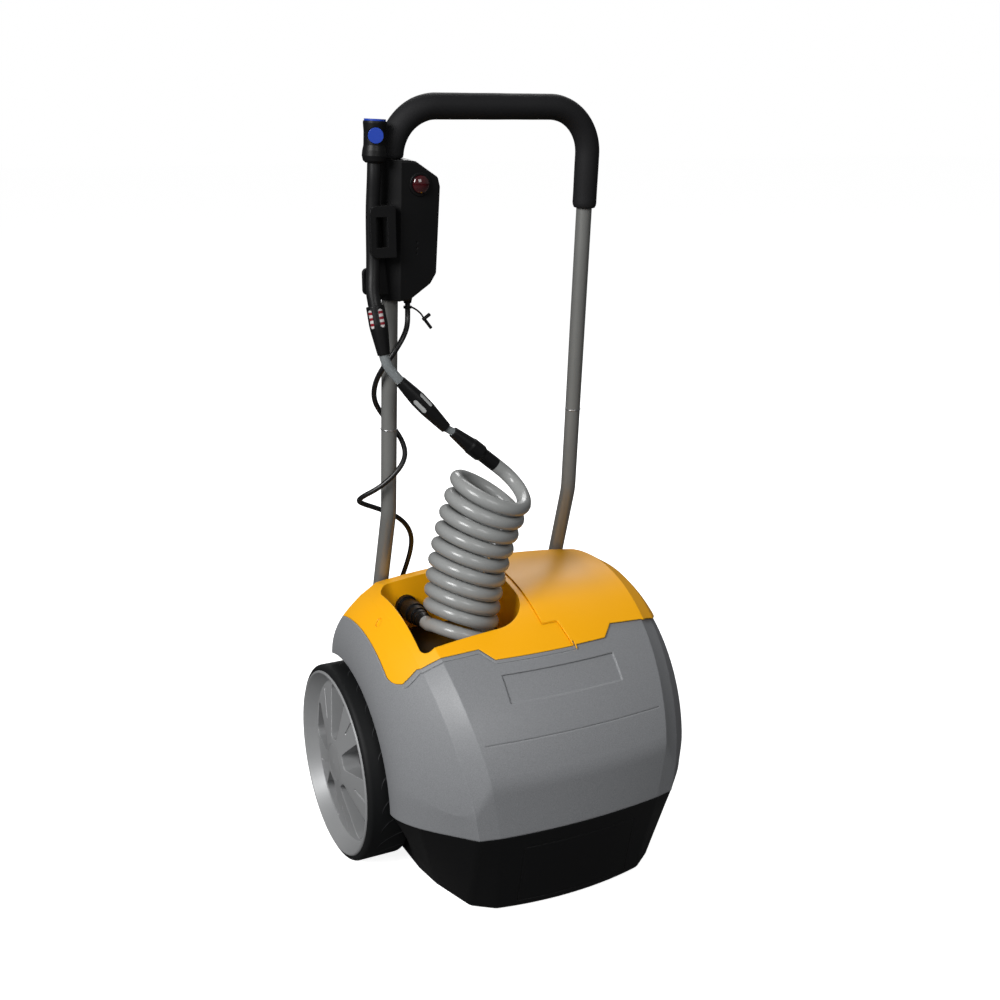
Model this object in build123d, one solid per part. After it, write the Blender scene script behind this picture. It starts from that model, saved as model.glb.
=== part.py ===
from build123d import *
import math
import os

# Wheeled tank pressure washer: grey body on a black base, yellow top with an
# open hose well and a hinged tank lid, tubular push handle with a control box.
# Lengths are in millimetres. The front faces -Y, +X is to the right seen from
# the front, and the floor is Z = 0. The pieces are drawn with Y = 0 at the
# wheel axle and moved by AXLE_Y when they are saved, so that the origin ends
# up on the floor under the middle of the machine.
AXLE_Y = 67.0

# Wheels
TYRE_RADIUS = 130.0
TYRE_INNER_X = 169.0
TYRE_OUTER_X = 229.0
RIM_RADIUS = 122.6
RIM_OUTER_X = 231.0
AXLE_Z = TYRE_RADIUS
AXLE_RADIUS = 6.0
AXLE_HALF = 218.0
RUNNING_GAP = 0.05
BUSH_RADIUS = 9.0
BUSH_X = (168.6, 213.8)
BORE_RADIUS = TYRE_RADIUS - 13.0
TYRE_SHOULDER = 6.0
HUB_RADIUS = 24.0
HUB_FACE_X = 228.5
# The rim's face is a dish: from the lip in to where it meets the disc (x, radius)
RIM_DISH = (214.5, 107.0)
RIM_BARREL_RADIUS = 112.0
DISC_BACK_X = 202.0
WHEEL_PLANE_X = 200.0
WINDOWS = 5
WINDOW_FIRST_ANGLE = 24.0
# Half plan of a window: (radius, half width) near the hub and near the lip
WINDOW_NEAR = (32.0, 9.5)
WINDOW_FAR = (103.0, 30.0)
# A groove runs along the middle of each spoke's outer half: mid radius, length, width, depth
GROOVE_MID_RADIUS = 82.0
SPOKE_GROOVE = (44.0, 3.4)
SPOKE_GROOVE_DEPTH = 1.6
WASHER_RADIUS = 11.0
WASHER_X = (165.6, 214.5)
WASHER_THICK = 2.0

# Body
SPLIT_Z = 122.0
REAR_Y = 42.0
WALL = 3.0
SEAM = 0.6
ARCH_RADIUS = 143.5
ARCH_INNER_X = 164.0
FRONT_Y = -264.0
# Side profiles of the body, from the wheel lip to the middle of the front:
# half width at the split, outward lean in degrees, arch radius,
# arch centre (y, z) and the y of the upright front wall
LIP = (207.0, 1.8, 147.0, (0.0, 130.0), -146.0)
SHOULDER = (202.0, 2.5, 167.0, (-3.0, 129.0), -167.0)
FLANK = (188.0, 4.5, 187.0, (-7.0, 127.0), -191.0)
OUTER_CREASE = (136.0, 8.8, 233.0, (-20.0, 120.0), -250.0)
INNER_CREASE = (111.0, 8.9, 247.0, (-20.0, 120.0), -256.0)
MIDDLE = (0.0, 0.0, 254.0, (-20.0, 120.0), FRONT_Y)

# Yellow top, its lower edge seen from the front: the cover's part on the left, the lid's on the right
COVER_SIDE_X = 195.0
COVER_TOP_Z = 460.0
COVER_EDGE = [
    (-COVER_SIDE_X, 286.0),
    (-185.0, 290.0),
    (-169.0, 309.0),
    (-142.0, 323.0),
    (-93.0, 326.5),
    (-78.0, 316.0),
    (28.0, 316.0),
]
LID_EDGE = [
    (28.0, 321.0),
    (74.0, 321.0),
    (91.0, 331.5),
    (140.0, 327.5),
    (152.0, 324.5),
    (168.0, 319.0),
    (186.0, 311.0),
    (COVER_SIDE_X, 308.0),
]
COVER_TIP_ROUND = 4.0
# The lid stands proud of the body, and its skirt hangs over the grey edge
LID_PROUD = 1.8
LID_CLEAR = 0.4
LID_SKIRT = 3.5
LID_SKIRT_REAR_Y = -40.0
LID_REST = 2.0
LID_REAR_STEP_X = 120.0
REAR_STRIP_Y = 38.5
LID_REAR_GAP = 1.2
REAR_STRIP_DROP = 8.0
LID_LEFT_X = 0.5
LID_STEP = (22.0, -149.5)
LID_NOTCH_X = 28.0
HINGE_Y = 47.0
HINGE_Z = 356.0
HINGE_X = (45.0, 100.0)
HINGE_BARREL = 4.5
HINGE_PIN = 2.0
TONGUE = 8.0
TONGUE_GAP = 4.0
SCREW_SLOT = (-180.4, -52.5, 338.4)
SCREW_SLOT_WAY = (-0.718, -0.127, 0.684)
SCREW_SLOT_SIZE = (12.5, 7.5)
SCREW_SLOT_DEPTH = 1.8

# Lines scored in the grey shell: bare label recess, groove across the front, line below the cover
SCORE_DEPTH = 0.8
LABEL_DEPTH = 1.6
LABEL_HALF = 78.0
LABEL_Z = (274.5, 302.0)
GROOVE_HALF = 121.0
GROOVE_Z = 236.5
GROOVE_WIDTH = 1.2
STEP_LINE = 3.2
STEP_LINE_WIDTH = 0.8

# Hose well in the left half of the cover
WELL_LEFT = -159.0
WELL_RIGHT = -8.0
WELL_FRONT = -143.0
WELL_REAR = 13.0
WELL_FLOOR_Z = 295.0
WELL_WALL = 2.5
WELL_CORNERS = {
    (WELL_LEFT, WELL_FRONT): 12.0,
    (WELL_RIGHT, WELL_FRONT): 50.0,
    (WELL_LEFT, WELL_REAR): 25.0,
    (WELL_RIGHT, WELL_REAR): 50.0,
}

# Base
BASE_TOP_Z = SPLIT_Z - SEAM
BASE_BOTTOM_Z = 2.0
BASE_WALL = 4.0
BASE_UPRIGHT_ROUND = 16.0
BASE_BOTTOM_ROUND = 14.0
BASE_ARCH_GAP = 3.5
PANEL_HALF = 77.0
PANEL_BOTTOM_Z = 16.0
PANEL_TOP_Z = 100.0
PANEL_THICK = 2.2
PAD_AT = (100.0, -185.0)
UPRIGHT_X = 137.0
UPRIGHT_TOP_Z = 150.0

# Rear cover and screws
REAR_HALF = 154.0
REAR_TOP_Z = 306.0
REAR_FACE_Y = 122.0
REAR_JOIN_Y = REAR_Y + 0.4
SOCKET_WALL = 7.0
BOSS_RADIUS = 6.0
SCREW_HEAD_RADIUS = 4.2
GLAND_FOOT_Z = 300.0
SCREW_RADIUS = 2.0
COVER_SCREWS = [(-70.0, 160.0), (70.0, 160.0), (-70.0, 205.0), (70.0, 205.0)]

# Handle: the tubes leave the rear cover leaning forward, kink and run up to the grip
TUBE_RADIUS = 10.0
TUBE_X = 133.6
TUBE_FOOT = (102.0, 216.0)
TUBE_KINK = (23.0, 455.0)
TUBE_JOINT = (14.0, 569.0)
HANDLE_TOP_Z = 959.5
KINK_RADIUS = 70.0
GRIP_BEND_RADIUS = 57.0
FOAM_RADIUS = 15.4
FOAM_LEFT_END_Z = 901.3
FOAM_RIGHT_END_Z = 837.0
HANDLE_LEAN = math.degrees(math.atan2(TUBE_KINK[0] - TUBE_JOINT[0], TUBE_JOINT[1] - TUBE_KINK[1]))

# Control box on the left tube, in the tube's own leaning frame
BOX_FOOT_Z = 735.0
BOX_FRONT = 22.0
BOX_REAR = 20.0
BOX_CLAMP_RADIUS = 13.5
BOX_HEIGHT = 166.0
BOX_SLEEVE_MEETS_X = 5.0
BUTTON_AT = (28.5, 138.5)
BUTTON_RADIUS = 10.2
BOX_SCREWS = [(22.0, 14.0), (44.0, 40.0), (46.0, 122.0), (20.0, 154.0)]

# Hose line from the coil up to the end coupling
COIL_TUBE = 17.8
COIL_RADIUS = 42.5
COIL_PITCH = 20.4
COIL_FIRST_TURN = -1.0
COIL_LAST_TURN = 8.4
COIL_ARCS_PER_TURN = 4
COIL_LOOSE = 7.0
COIL_FOOT = (-77.6, -76.0, 339.4)
COIL_BOW = 0.00106
COIL_FORWARD = -0.158
COIL_TILT = 25.6
COIL_TILT_GAIN = -1.3
COIL_TILT_SPAN = 160.0
# The front of each turn dips further as the coil rises, and the top turn opens towards the front
COIL_NOSE_DOWN = -1.6
COIL_NOSE_GAIN = 11.0
COIL_NOSE_TOP = 6.7
CONNECTOR_LEAD = 8.0
OUTLET_X = -116.8
OUTLET_Z = 328.0
OUTLET_FRONT_Y = -54.0
OUTLET_NECK = 6.5
BARB_Y = 27.0
BARB_Z = 300.0
CONNECTOR_FOOT = (-25.6, -69.6, 529.5)
CONNECTOR_HEAD = (-79.3, -62.0, 575.3)
LOWER_JOINER_FOOT = (-88.3, -61.0, 581.0)
LOWER_JOINER_HEAD = (-142.4, -48.0, 642.1)
UPPER_JOINER_FOOT = (-159.8, -42.0, 674.1)
UPPER_JOINER_HEAD = (-164.9, -30.0, 731.5)
CLEAR_RADIUS = 6.0
WINDOW_WIDTH = 6.4
WAND_HOSE_RADIUS = 8.2
COUPLING_FOOT = (-160.6, -28.6, 896.0)
COUPLING_HEAD = (-158.5, -29.2, 942.5)
WAND_MIDDLE = [(-163.2, -23.2, 780.0), (-162.2, -23.2, 842.0)]
RELEASE_Z = 926.5
RELEASE_RADIUS = 8.8
RELEASE_TRAVEL = 2.5
RELEASE_TURN = 16.0
SOCKET_RADIUS = 5.2

# Cable from the control box, twice round the left tube, down into the rear cover
CABLE_RADIUS = 3.3
CABLE_ROUTE = [
    (-110.0, 1.5, 728.0),
    (-110.0, 1.5, 713.0),
    (-113.5, -4.5, 699.5),
    (-123.5, -12.5, 686.0),
    (-138.0, -13.5, 667.0),
    (-150.5, -6.0, 648.0),
    (-154.0, 8.0, 628.0),
    (-150.0, 22.5, 607.0),
    (-138.0, 31.0, 587.0),
    (-122.0, 31.0, 568.0),
    (-112.5, 22.0, 550.0),
    (-114.0, 7.0, 535.0),
    (-125.0, -1.0, 521.0),
    (-141.5, 1.0, 505.0),
    (-157.0, 7.5, 493.0),
    (-170.0, 17.5, 484.0),
    (-173.0, 29.5, 475.0),
    (-162.0, 38.5, 467.0),
    (-143.0, 43.0, 458.0),
    (-119.0, 44.5, 446.0),
    (-100.0, 48.0, 430.0),
    (-89.5, 53.0, 410.0),
    (-88.5, 59.0, 388.0),
    (-94.0, 64.0, 364.0),
    (-100.0, 68.0, 344.0),
    (-101.0, 68.5, 330.0),
    (-101.0, 68.5, 317.0),
]

# Water tank
BATTERY_HALF = 75.5
BATTERY_Y = (-62.0, -6.5)
BATTERY_TOP_Z = 100.0
TANK_HALF = 112.0
TANK_Y = (-205.0, -75.0)
TANK_Z = (6.2, 262.0)
NECK_AT = (70.0, -120.0)
NECK_RADIUS = 36.0


def saved(name, *solids):
    """Write one node, moved from the axle frame to the machine's own origin."""
    placed = [Pos(0, AXLE_Y, 0) * solid for solid in solids]
    shape = placed[0] if len(placed) == 1 else Compound(children=placed)
    export_step(shape, f"parts/{name}.step")


def both_sides(shape):
    """A shape on the right and its mirror image on the left."""
    return [shape, mirror(shape, about=Plane.YZ)]


def rod(start, end, radius):
    """Round bar between two points."""
    axis = Vector(*end) - Vector(*start)
    return extrude(Plane(origin=start, z_dir=axis) * Circle(radius), axis.length)


def turned(start, end, steps):
    """Turned piece from start to end; steps are (share of the length, radius) pairs."""
    axis = Vector(*end) - Vector(*start)
    outline = [(0, 0)] + [(radius, share * axis.length) for share, radius in steps] + [(0, axis.length)]
    half = Plane.XZ * make_face(Polyline(*outline, close=True))
    return Plane(origin=start, z_dir=axis) * revolve(half, Axis.Z)


def x_cylinder(radius, x_from, x_to, y=0.0, z=AXLE_Z):
    """Cylinder along X between two stations."""
    middle = (x_from + x_to) / 2
    return Pos(middle, y, z) * Cylinder(radius, abs(x_to - x_from), rotation=(0, 90, 0))


def block(x, y, z):
    """Box from its limits along each axis."""
    return Pos(sum(x) / 2, sum(y) / 2, sum(z) / 2) * Box(x[1] - x[0], y[1] - y[0], z[1] - z[0])


def route_radii(points):
    """Largest tangent arc at each corner of a cord's route."""
    corners = [Vector(*point) for point in points]
    radii = []
    for before, here, after in zip(corners, corners[1:], corners[2:]):
        run_in = here - before
        run_out = after - here
        turn = math.radians(run_in.get_angle(run_out))
        radii.append(0.45 * min(run_in.length, run_out.length) / math.tan(turn / 2))
    return radii


def cord_tube(points, radius, label):
    """Round tube along straight runs joined by tangent arcs."""
    radii = route_radii(points)
    path = FilletPolyline(*points, radius=radii)
    start = Vector(*points[1]) - Vector(*points[0])
    tube = sweep(Plane(origin=points[0], z_dir=start) * Circle(radius), path=path)
    expected = math.pi * radius ** 2 * path.length
    print(f"{label}: length {path.length:.1f}, least radius {min(radii):.1f}, volume share {tube.volume / expected:.4f}")
    return tube


def biarc(start, start_way, end, end_way):
    """Two arcs that leave start along start_way and reach end along end_way."""
    across = end - start
    ways = start_way + end_way
    square = 2 * (1 - start_way.dot(end_way))
    linear = across.dot(ways)
    reach = (math.sqrt(linear ** 2 + square * across.dot(across)) - linear) / square
    first = start + start_way * reach
    second = end - end_way * reach
    middle = (first + second) * 0.5
    return [
        TangentArc(start, middle, tangent=start_way),
        TangentArc(middle, end, tangent=second - first),
    ]


# Body
def body_section(half_width, lean, radius, centre, front, inset):
    """Closed side profile of the body on a plane that leans outward."""
    slope = math.radians(lean)
    plane = Plane(
        origin=(half_width - inset if half_width else 0.0, 0, SPLIT_Z),
        x_dir=(0, 1, 0),
        z_dir=(math.cos(slope), 0, -math.sin(slope)),
    )
    arch = radius - inset
    centre_y, centre_z = centre[0], centre[1] - SPLIT_Z
    front_y = front + inset
    rear_y = REAR_Y - inset
    floor_z = -2 * inset
    front_top = centre_z + math.sqrt(arch ** 2 - (front_y - centre_y) ** 2)
    rear_top = centre_z + math.sqrt(arch ** 2 - (rear_y - centre_y) ** 2)
    outline = [
        Line((front_y, floor_z), (front_y, front_top)),
        ThreePointArc((front_y, front_top), (centre_y, centre_z + arch), (rear_y, rear_top)),
        Line((rear_y, rear_top), (rear_y, floor_z)),
        Line((rear_y, floor_z), (front_y, floor_z)),
    ]
    face = make_face(outline)
    brow = face.vertices().sort_by_distance((front_y, front_top))[0]
    face = fillet(brow, 60.0)
    heel = face.vertices().sort_by_distance((rear_y, rear_top))[0]
    face = fillet(heel, 6.0)
    return plane * face


def body_form(inset=0.0):
    """Outer form of the body, or the same form set in by a wall."""
    rows = (LIP, SHOULDER, FLANK, OUTER_CREASE, INNER_CREASE, MIDDLE)
    lip, shoulder, flank, outer, inner, middle = [body_section(*row, inset) for row in rows]
    side = loft([lip, shoulder, flank, outer])
    bevel = loft([outer, inner], ruled=True)
    centre = loft([inner, middle, mirror(inner, about=Plane.YZ)])
    right = side + bevel
    return centre + right + mirror(right, about=Plane.YZ)


def wheel_arches(radius, inner_x):
    """Cylinders round the axle that make room for both wheels."""
    return x_cylinder(radius, inner_x, 300.0) + x_cylinder(radius, -300.0, -inner_x)


def cover_zone(grow):
    """Everything above the yellow top's lower edge, seen from the front."""
    corners = [*COVER_EDGE, *LID_EDGE, (COVER_SIDE_X, COVER_TOP_Z), (-COVER_SIDE_X, COVER_TOP_Z)]
    outline = make_face(Polyline(*corners, close=True))
    for tip in (COVER_EDGE[0], COVER_EDGE[1], LID_EDGE[-1], LID_EDGE[-2]):
        outline = fillet(outline.vertices().sort_by_distance((*tip, 0))[0], COVER_TIP_ROUND)
    if grow:
        outline = offset(outline, grow)
    return Pos(0, 80.0, 0) * extrude(Plane.XZ * outline, 420.0)


def lid_zone(grow):
    """Everything on the lid's side of its seam, seen from above."""
    corners = [
        (LID_LEFT_X, 120.0),
        (LID_LEFT_X, LID_STEP[1]),
        LID_STEP,
        (LID_NOTCH_X, -182.0),
        (LID_NOTCH_X, -330.0),
        (300.0, -330.0),
        (300.0, 120.0),
    ]
    outline = make_face(Polyline(*corners, close=True))
    if grow:
        outline = offset(outline, grow)
    return Pos(0, 0, 200.0) * extrude(outline, 260.0)


def well_plan(grow):
    """Plan of the hose well, with a different radius at each corner."""
    face = Pos((WELL_LEFT + WELL_RIGHT) / 2, (WELL_FRONT + WELL_REAR) / 2) * Rectangle(
        WELL_RIGHT - WELL_LEFT, WELL_REAR - WELL_FRONT
    )
    for corner, radius in WELL_CORNERS.items():
        vertex = face.vertices().sort_by_distance((*corner, 0))[0]
        face = fillet(vertex, radius)
    return offset(face, grow) if grow else face


def body_and_covers():
    """Grey shell, yellow cover, tank lid and well tray, all cut from one body form."""
    outer = body_form()
    scored = body_form(SCORE_DEPTH)
    inner = body_form(WALL)
    arches = wheel_arches(ARCH_RADIUS, ARCH_INNER_X)
    shell = outer - (inner - wheel_arches(ARCH_RADIUS + WALL, ARCH_INNER_X - WALL)) - arches

    grey = shell - cover_zone(SEAM)
    ledge_room = block((-190.0, 0.0), (-300.0, 30.0), (200.0, 400.0))
    ledge_room += block((-1.0, 185.0), (-300.0, LID_SKIRT_REAR_Y), (200.0, 400.0))
    tongue = body_form(WALL - 1.0) - body_form(2 * WALL)
    tongue &= cover_zone(TONGUE) - cover_zone(TONGUE_GAP)
    ledge = body_form(WALL + 0.5) - body_form(2 * WALL)
    ledge &= cover_zone(TONGUE) - cover_zone(-TONGUE)
    grey += tongue & ledge_room
    grey += ledge & ledge_room
    label = block((-LABEL_HALF, LABEL_HALF), (-300.0, -150.0), LABEL_Z)
    grey -= label - body_form(LABEL_DEPTH)
    score = block((-GROOVE_HALF, GROOVE_HALF), (-300.0, -150.0), (GROOVE_Z, GROOVE_Z + GROOVE_WIDTH))
    score += cover_zone(STEP_LINE + STEP_LINE_WIDTH) - cover_zone(STEP_LINE)
    grey -= (score & block((-185.0, 60.0), (-300.0, 20.0), (200.0, 400.0))) - scored
    grey -= (score & block((59.0, 185.0), (-300.0, -150.0), (200.0, LABEL_Z[0]))) - scored
    grey -= x_cylinder(AXLE_RADIUS + 0.5, -170.0, 170.0)
    grey -= block((-170.0, 170.0), (-AXLE_RADIUS - 0.5, AXLE_RADIUS + 0.5), (110.0, AXLE_Z))
    for x, z in COVER_SCREWS:
        grey -= rod((x, 30.0, z), (x, 60.0, z), SCREW_RADIUS + 0.2)

    yellow = shell & cover_zone(0)
    cover = yellow - lid_zone(SEAM)
    proud = body_form(-LID_PROUD)
    lid = (proud - body_form(WALL - LID_PROUD)) & cover_zone(0) & lid_zone(0)
    skirt = (proud - body_form(-LID_CLEAR)) & (cover_zone(LID_SKIRT) - cover_zone(-1.0)) & lid_zone(0)
    lid += skirt & block((LID_NOTCH_X + 2.0, 250.0), (-330.0, LID_SKIRT_REAR_Y), (200.0, 420.0))
    lid -= block((-10.0, 250.0), (REAR_Y, REAR_Y + 20.0), (200.0, 420.0))
    flush_y = REAR_STRIP_Y - 0.4
    lid -= block((LID_REAR_STEP_X, 250.0), (flush_y - LID_REAR_GAP, REAR_Y + 20.0), (200.0, 420.0))
    strip = block((-6.0, LID_REAR_STEP_X + 2.0), (REAR_STRIP_Y, REAR_Y + 1.0), (250.0, 420.0))
    lid -= strip & (Pos(0, 0, -LID_REST) * outer)
    cover += (yellow & strip) & (Pos(0, 0, -REAR_STRIP_DROP) * outer)
    cover += yellow & block((LID_REAR_STEP_X + SEAM, 230.0), (flush_y, REAR_Y + 1.0), (250.0, 420.0))
    well = Pos(0, 0, WELL_FLOOR_Z) * extrude(well_plan(WELL_WALL), 200.0)
    cover += well & scored
    grey -= Pos(0, 0, WELL_FLOOR_Z - 20.0) * extrude(well_plan(WELL_WALL + 4.0), 200.0)
    cover -= Pos(0, 0, WELL_FLOOR_Z - 1.0) * extrude(well_plan(0), 200.0)
    cover -= rod((OUTLET_X, 0, OUTLET_Z), (OUTLET_X, 30.0, OUTLET_Z), OUTLET_NECK + 0.2)
    slot_floor = Vector(*SCREW_SLOT) - Vector(*SCREW_SLOT_WAY) * SCREW_SLOT_DEPTH
    slot_plane = Plane(origin=slot_floor, x_dir=(0.6, 0.45, 0.7), z_dir=SCREW_SLOT_WAY)
    cover -= extrude(slot_plane * SlotOverall(*SCREW_SLOT_SIZE), 8.0)

    pins = []
    for x in HINGE_X:
        arm = block((x - 5.0, x + 5.0), (30.0, HINGE_Y), (HINGE_Z + 0.5, HINGE_Z + 4.5))
        arm += block((x - 5.0, x + 5.0), (30.0, 36.0), (HINGE_Z + 1.0, 380.0)) & scored
        arm += x_cylinder(HINGE_BARREL, x - 5.0, x + 5.0, HINGE_Y, HINGE_Z)
        lid += arm
        lid -= x_cylinder(HINGE_PIN + RUNNING_GAP, x - 6.0, x + 6.0, HINGE_Y, HINGE_Z)
        cover -= block((x - 5.8, x + 5.8), (38.0, 43.0), (HINGE_Z - 5.5, 380.0))
        for side in (-1, 1):
            near, far = sorted((x + side * 5.5, x + side * 9.0))
            lug = x_cylinder(HINGE_BARREL, near, far, HINGE_Y, HINGE_Z)
            lug += block((near, far), (REAR_Y + 0.6, HINGE_Y), (HINGE_Z - 8.0, HINGE_Z))
            lug += block((near, far), (REAR_Y - 1.0, HINGE_Y), (HINGE_Z - 16.0, HINGE_Z - 7.0))
            cover += lug - x_cylinder(HINGE_PIN, near, far, HINGE_Y, HINGE_Z)
        pins.append(x_cylinder(HINGE_PIN, x - 10.0, x + 10.0, HINGE_Y, HINGE_Z))

    tray = Pos(0, 0, WELL_FLOOR_Z - 3.4) * extrude(well_plan(6.0), 3.0)
    saved("body_shell", grey)
    saved("top_cover", cover)
    saved("tank_lid", lid)
    saved("lid_hinge_pins", *pins)
    saved("well_tray", tray)
    print("grey, cover, lid solids:", len(grey.solids()), len(cover.solids()), len(lid.solids()))


# Base
def base_plan(z, nose, corner, bevel, side, rear_y, inset):
    """Plan of the base at one height: curved nose, two bevels, straight sides."""
    right = [(nose[0], nose[1]), corner, bevel, side, (side[0], rear_y)]
    left = [(-x, y) for x, y in reversed(right)]
    front = ThreePointArc(left[-1], (0, nose[2]), right[0])
    face = make_face([front, Polyline(*right, *left)])
    if inset:
        face = offset(face, -inset, kind=Kind.INTERSECTION)
    return Pos(0, 0, z) * face


def base_form(inset=0.0):
    """Outer form of the base, or the same form set in by a wall and open at the top."""
    top = base_plan(
        BASE_TOP_Z + inset, (111.0, -255.5, FRONT_Y), (136.0, -249.5), (188.0, -190.5), (206.5, -146.0), 41.5, inset
    )
    bottom = base_plan(
        BASE_BOTTOM_Z + inset, (103.0, -226.0, -239.0), (131.0, -203.0), (146.0, -140.0), (150.0, -100.0), 12.0, inset
    )
    form = loft([bottom, top], ruled=True)
    corners = [edge for edge in form.edges() if 20 < edge.center().Z < 110 and edge.center().Y < -100]
    form = fillet(corners, BASE_UPRIGHT_ROUND - inset)
    floor_edges = [edge for edge in form.edges() if edge.center().Z < BASE_BOTTOM_Z + inset + 1.0]
    return fillet(floor_edges, BASE_BOTTOM_ROUND - inset)


def base():
    """Base tray with its front panel, axle uprights and foot pads."""
    outer = base_form()
    room = base_form(BASE_WALL) - wheel_arches(ARCH_RADIUS + BASE_ARCH_GAP + BASE_WALL, ARCH_INNER_X - BASE_WALL)
    tray = outer - room - wheel_arches(ARCH_RADIUS + BASE_ARCH_GAP, ARCH_INNER_X)
    skin = outer - base_form(PANEL_THICK)
    panel = skin & block((-PANEL_HALF, PANEL_HALF), (-300.0, -150.0), (PANEL_BOTTOM_Z, PANEL_TOP_Z))
    tray -= skin & block(
        (-PANEL_HALF - SEAM, PANEL_HALF + SEAM), (-300.0, -150.0), (PANEL_BOTTOM_Z - SEAM, PANEL_TOP_Z + SEAM)
    )
    upright = block((UPRIGHT_X - 5.0, UPRIGHT_X + 5.0), (-14.0, 14.0), (BASE_BOTTOM_Z + 3.0, UPRIGHT_TOP_Z))
    for post in both_sides(upright):
        tray += post
    tray -= x_cylinder(AXLE_RADIUS + RUNNING_GAP, -180.0, 180.0)
    pad = Pos(PAD_AT[0], PAD_AT[1], 0) * extrude(SlotOverall(40.0, 16.0), BASE_BOTTOM_Z)
    saved("base_tray", tray)
    saved("base_front_panel", panel)
    saved("foot_pads", *both_sides(pad))
    print("base solids:", len(tray.solids()), len(panel.solids()))


def rear_cover():
    """Hollow cover behind the body that holds the feet of the handle tubes."""
    corners = [
        (REAR_JOIN_Y, 124.0),
        (REAR_JOIN_Y, REAR_TOP_Z),
        (92.0, REAR_TOP_Z),
        (REAR_FACE_Y, 217.0),
        (REAR_FACE_Y, 142.0),
        (104.0, 124.0),
    ]
    side = make_face(Polyline(*corners, close=True))
    form = extrude(Plane.YZ * side, REAR_HALF, both=True)
    form = fillet(form.edges().filter_by(Axis.X).sort_by(Axis.Y)[-4:], 8.0)
    inside = extrude(Plane.YZ * offset(side, -WALL, kind=Kind.INTERSECTION), REAR_HALF - WALL, both=True)
    inside += Pos(0, -10.0, 0) * inside
    cover = form - inside
    lean = Vector(0, TUBE_KINK[0] - TUBE_FOOT[0], TUBE_KINK[1] - TUBE_FOOT[1]).normalized()
    foot = Vector(TUBE_X, *TUBE_FOOT)
    socket = rod(foot - lean * 4.0, foot + lean * 30.0, TUBE_RADIUS + SOCKET_WALL)
    entry = rod(foot, foot + lean * 200.0, TUBE_RADIUS + 0.3)
    for ring, hole in zip(both_sides(socket), both_sides(entry)):
        cover += ring & form
        cover -= hole
    gland_x, gland_y, gland_z = CABLE_ROUTE[-1]
    cover -= rod((gland_x, gland_y, GLAND_FOOT_Z - 5.0), (gland_x, gland_y, REAR_TOP_Z + 5.0), 6.0)
    seat_y = REAR_FACE_Y - 5.0
    screws = []
    for x, z in COVER_SCREWS:
        cover += rod((x, REAR_JOIN_Y, z), (x, REAR_FACE_Y - 2.0, z), BOSS_RADIUS)
        cover -= rod((x, 40.0, z), (x, 130.0, z), SCREW_RADIUS + 0.2)
        cover -= rod((x, seat_y, z), (x, 130.0, z), SCREW_HEAD_RADIUS + 0.4)
        shank = rod((x, 34.0, z), (x, seat_y + 0.5, z), SCREW_RADIUS)
        screws.append(shank + rod((x, seat_y, z), (x, seat_y + 3.5, z), SCREW_HEAD_RADIUS))
    flange = (REAR_TOP_Z + 0.2 - GLAND_FOOT_Z) / (gland_z - GLAND_FOOT_Z)
    gland = turned(
        (gland_x, gland_y, GLAND_FOOT_Z),
        (gland_x, gland_y, gland_z),
        [(0, 5.9), (flange, 5.9), (flange, 8.0), (1, 6.0)],
    )
    saved("rear_cover", cover)
    saved("case_screws", *screws)
    saved("cable_gland_body", gland)
    print("rear cover solids:", len(cover.solids()))


# Wheels
def ring_about_axle(points):
    """Ring turned round the axle from (x, radius) points."""
    return Pos(0, 0, AXLE_Z) * revolve(make_face(Polyline(*points, close=True)), Axis.X)


def wheel_plane(angle):
    """Plane across the axle with its x direction along a radius, 0 degrees at the front."""
    way = math.radians(angle)
    return Plane(origin=(WHEEL_PLANE_X, 0, AXLE_Z), x_dir=(0, -math.cos(way), math.sin(way)), z_dir=(1, 0, 0))


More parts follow.
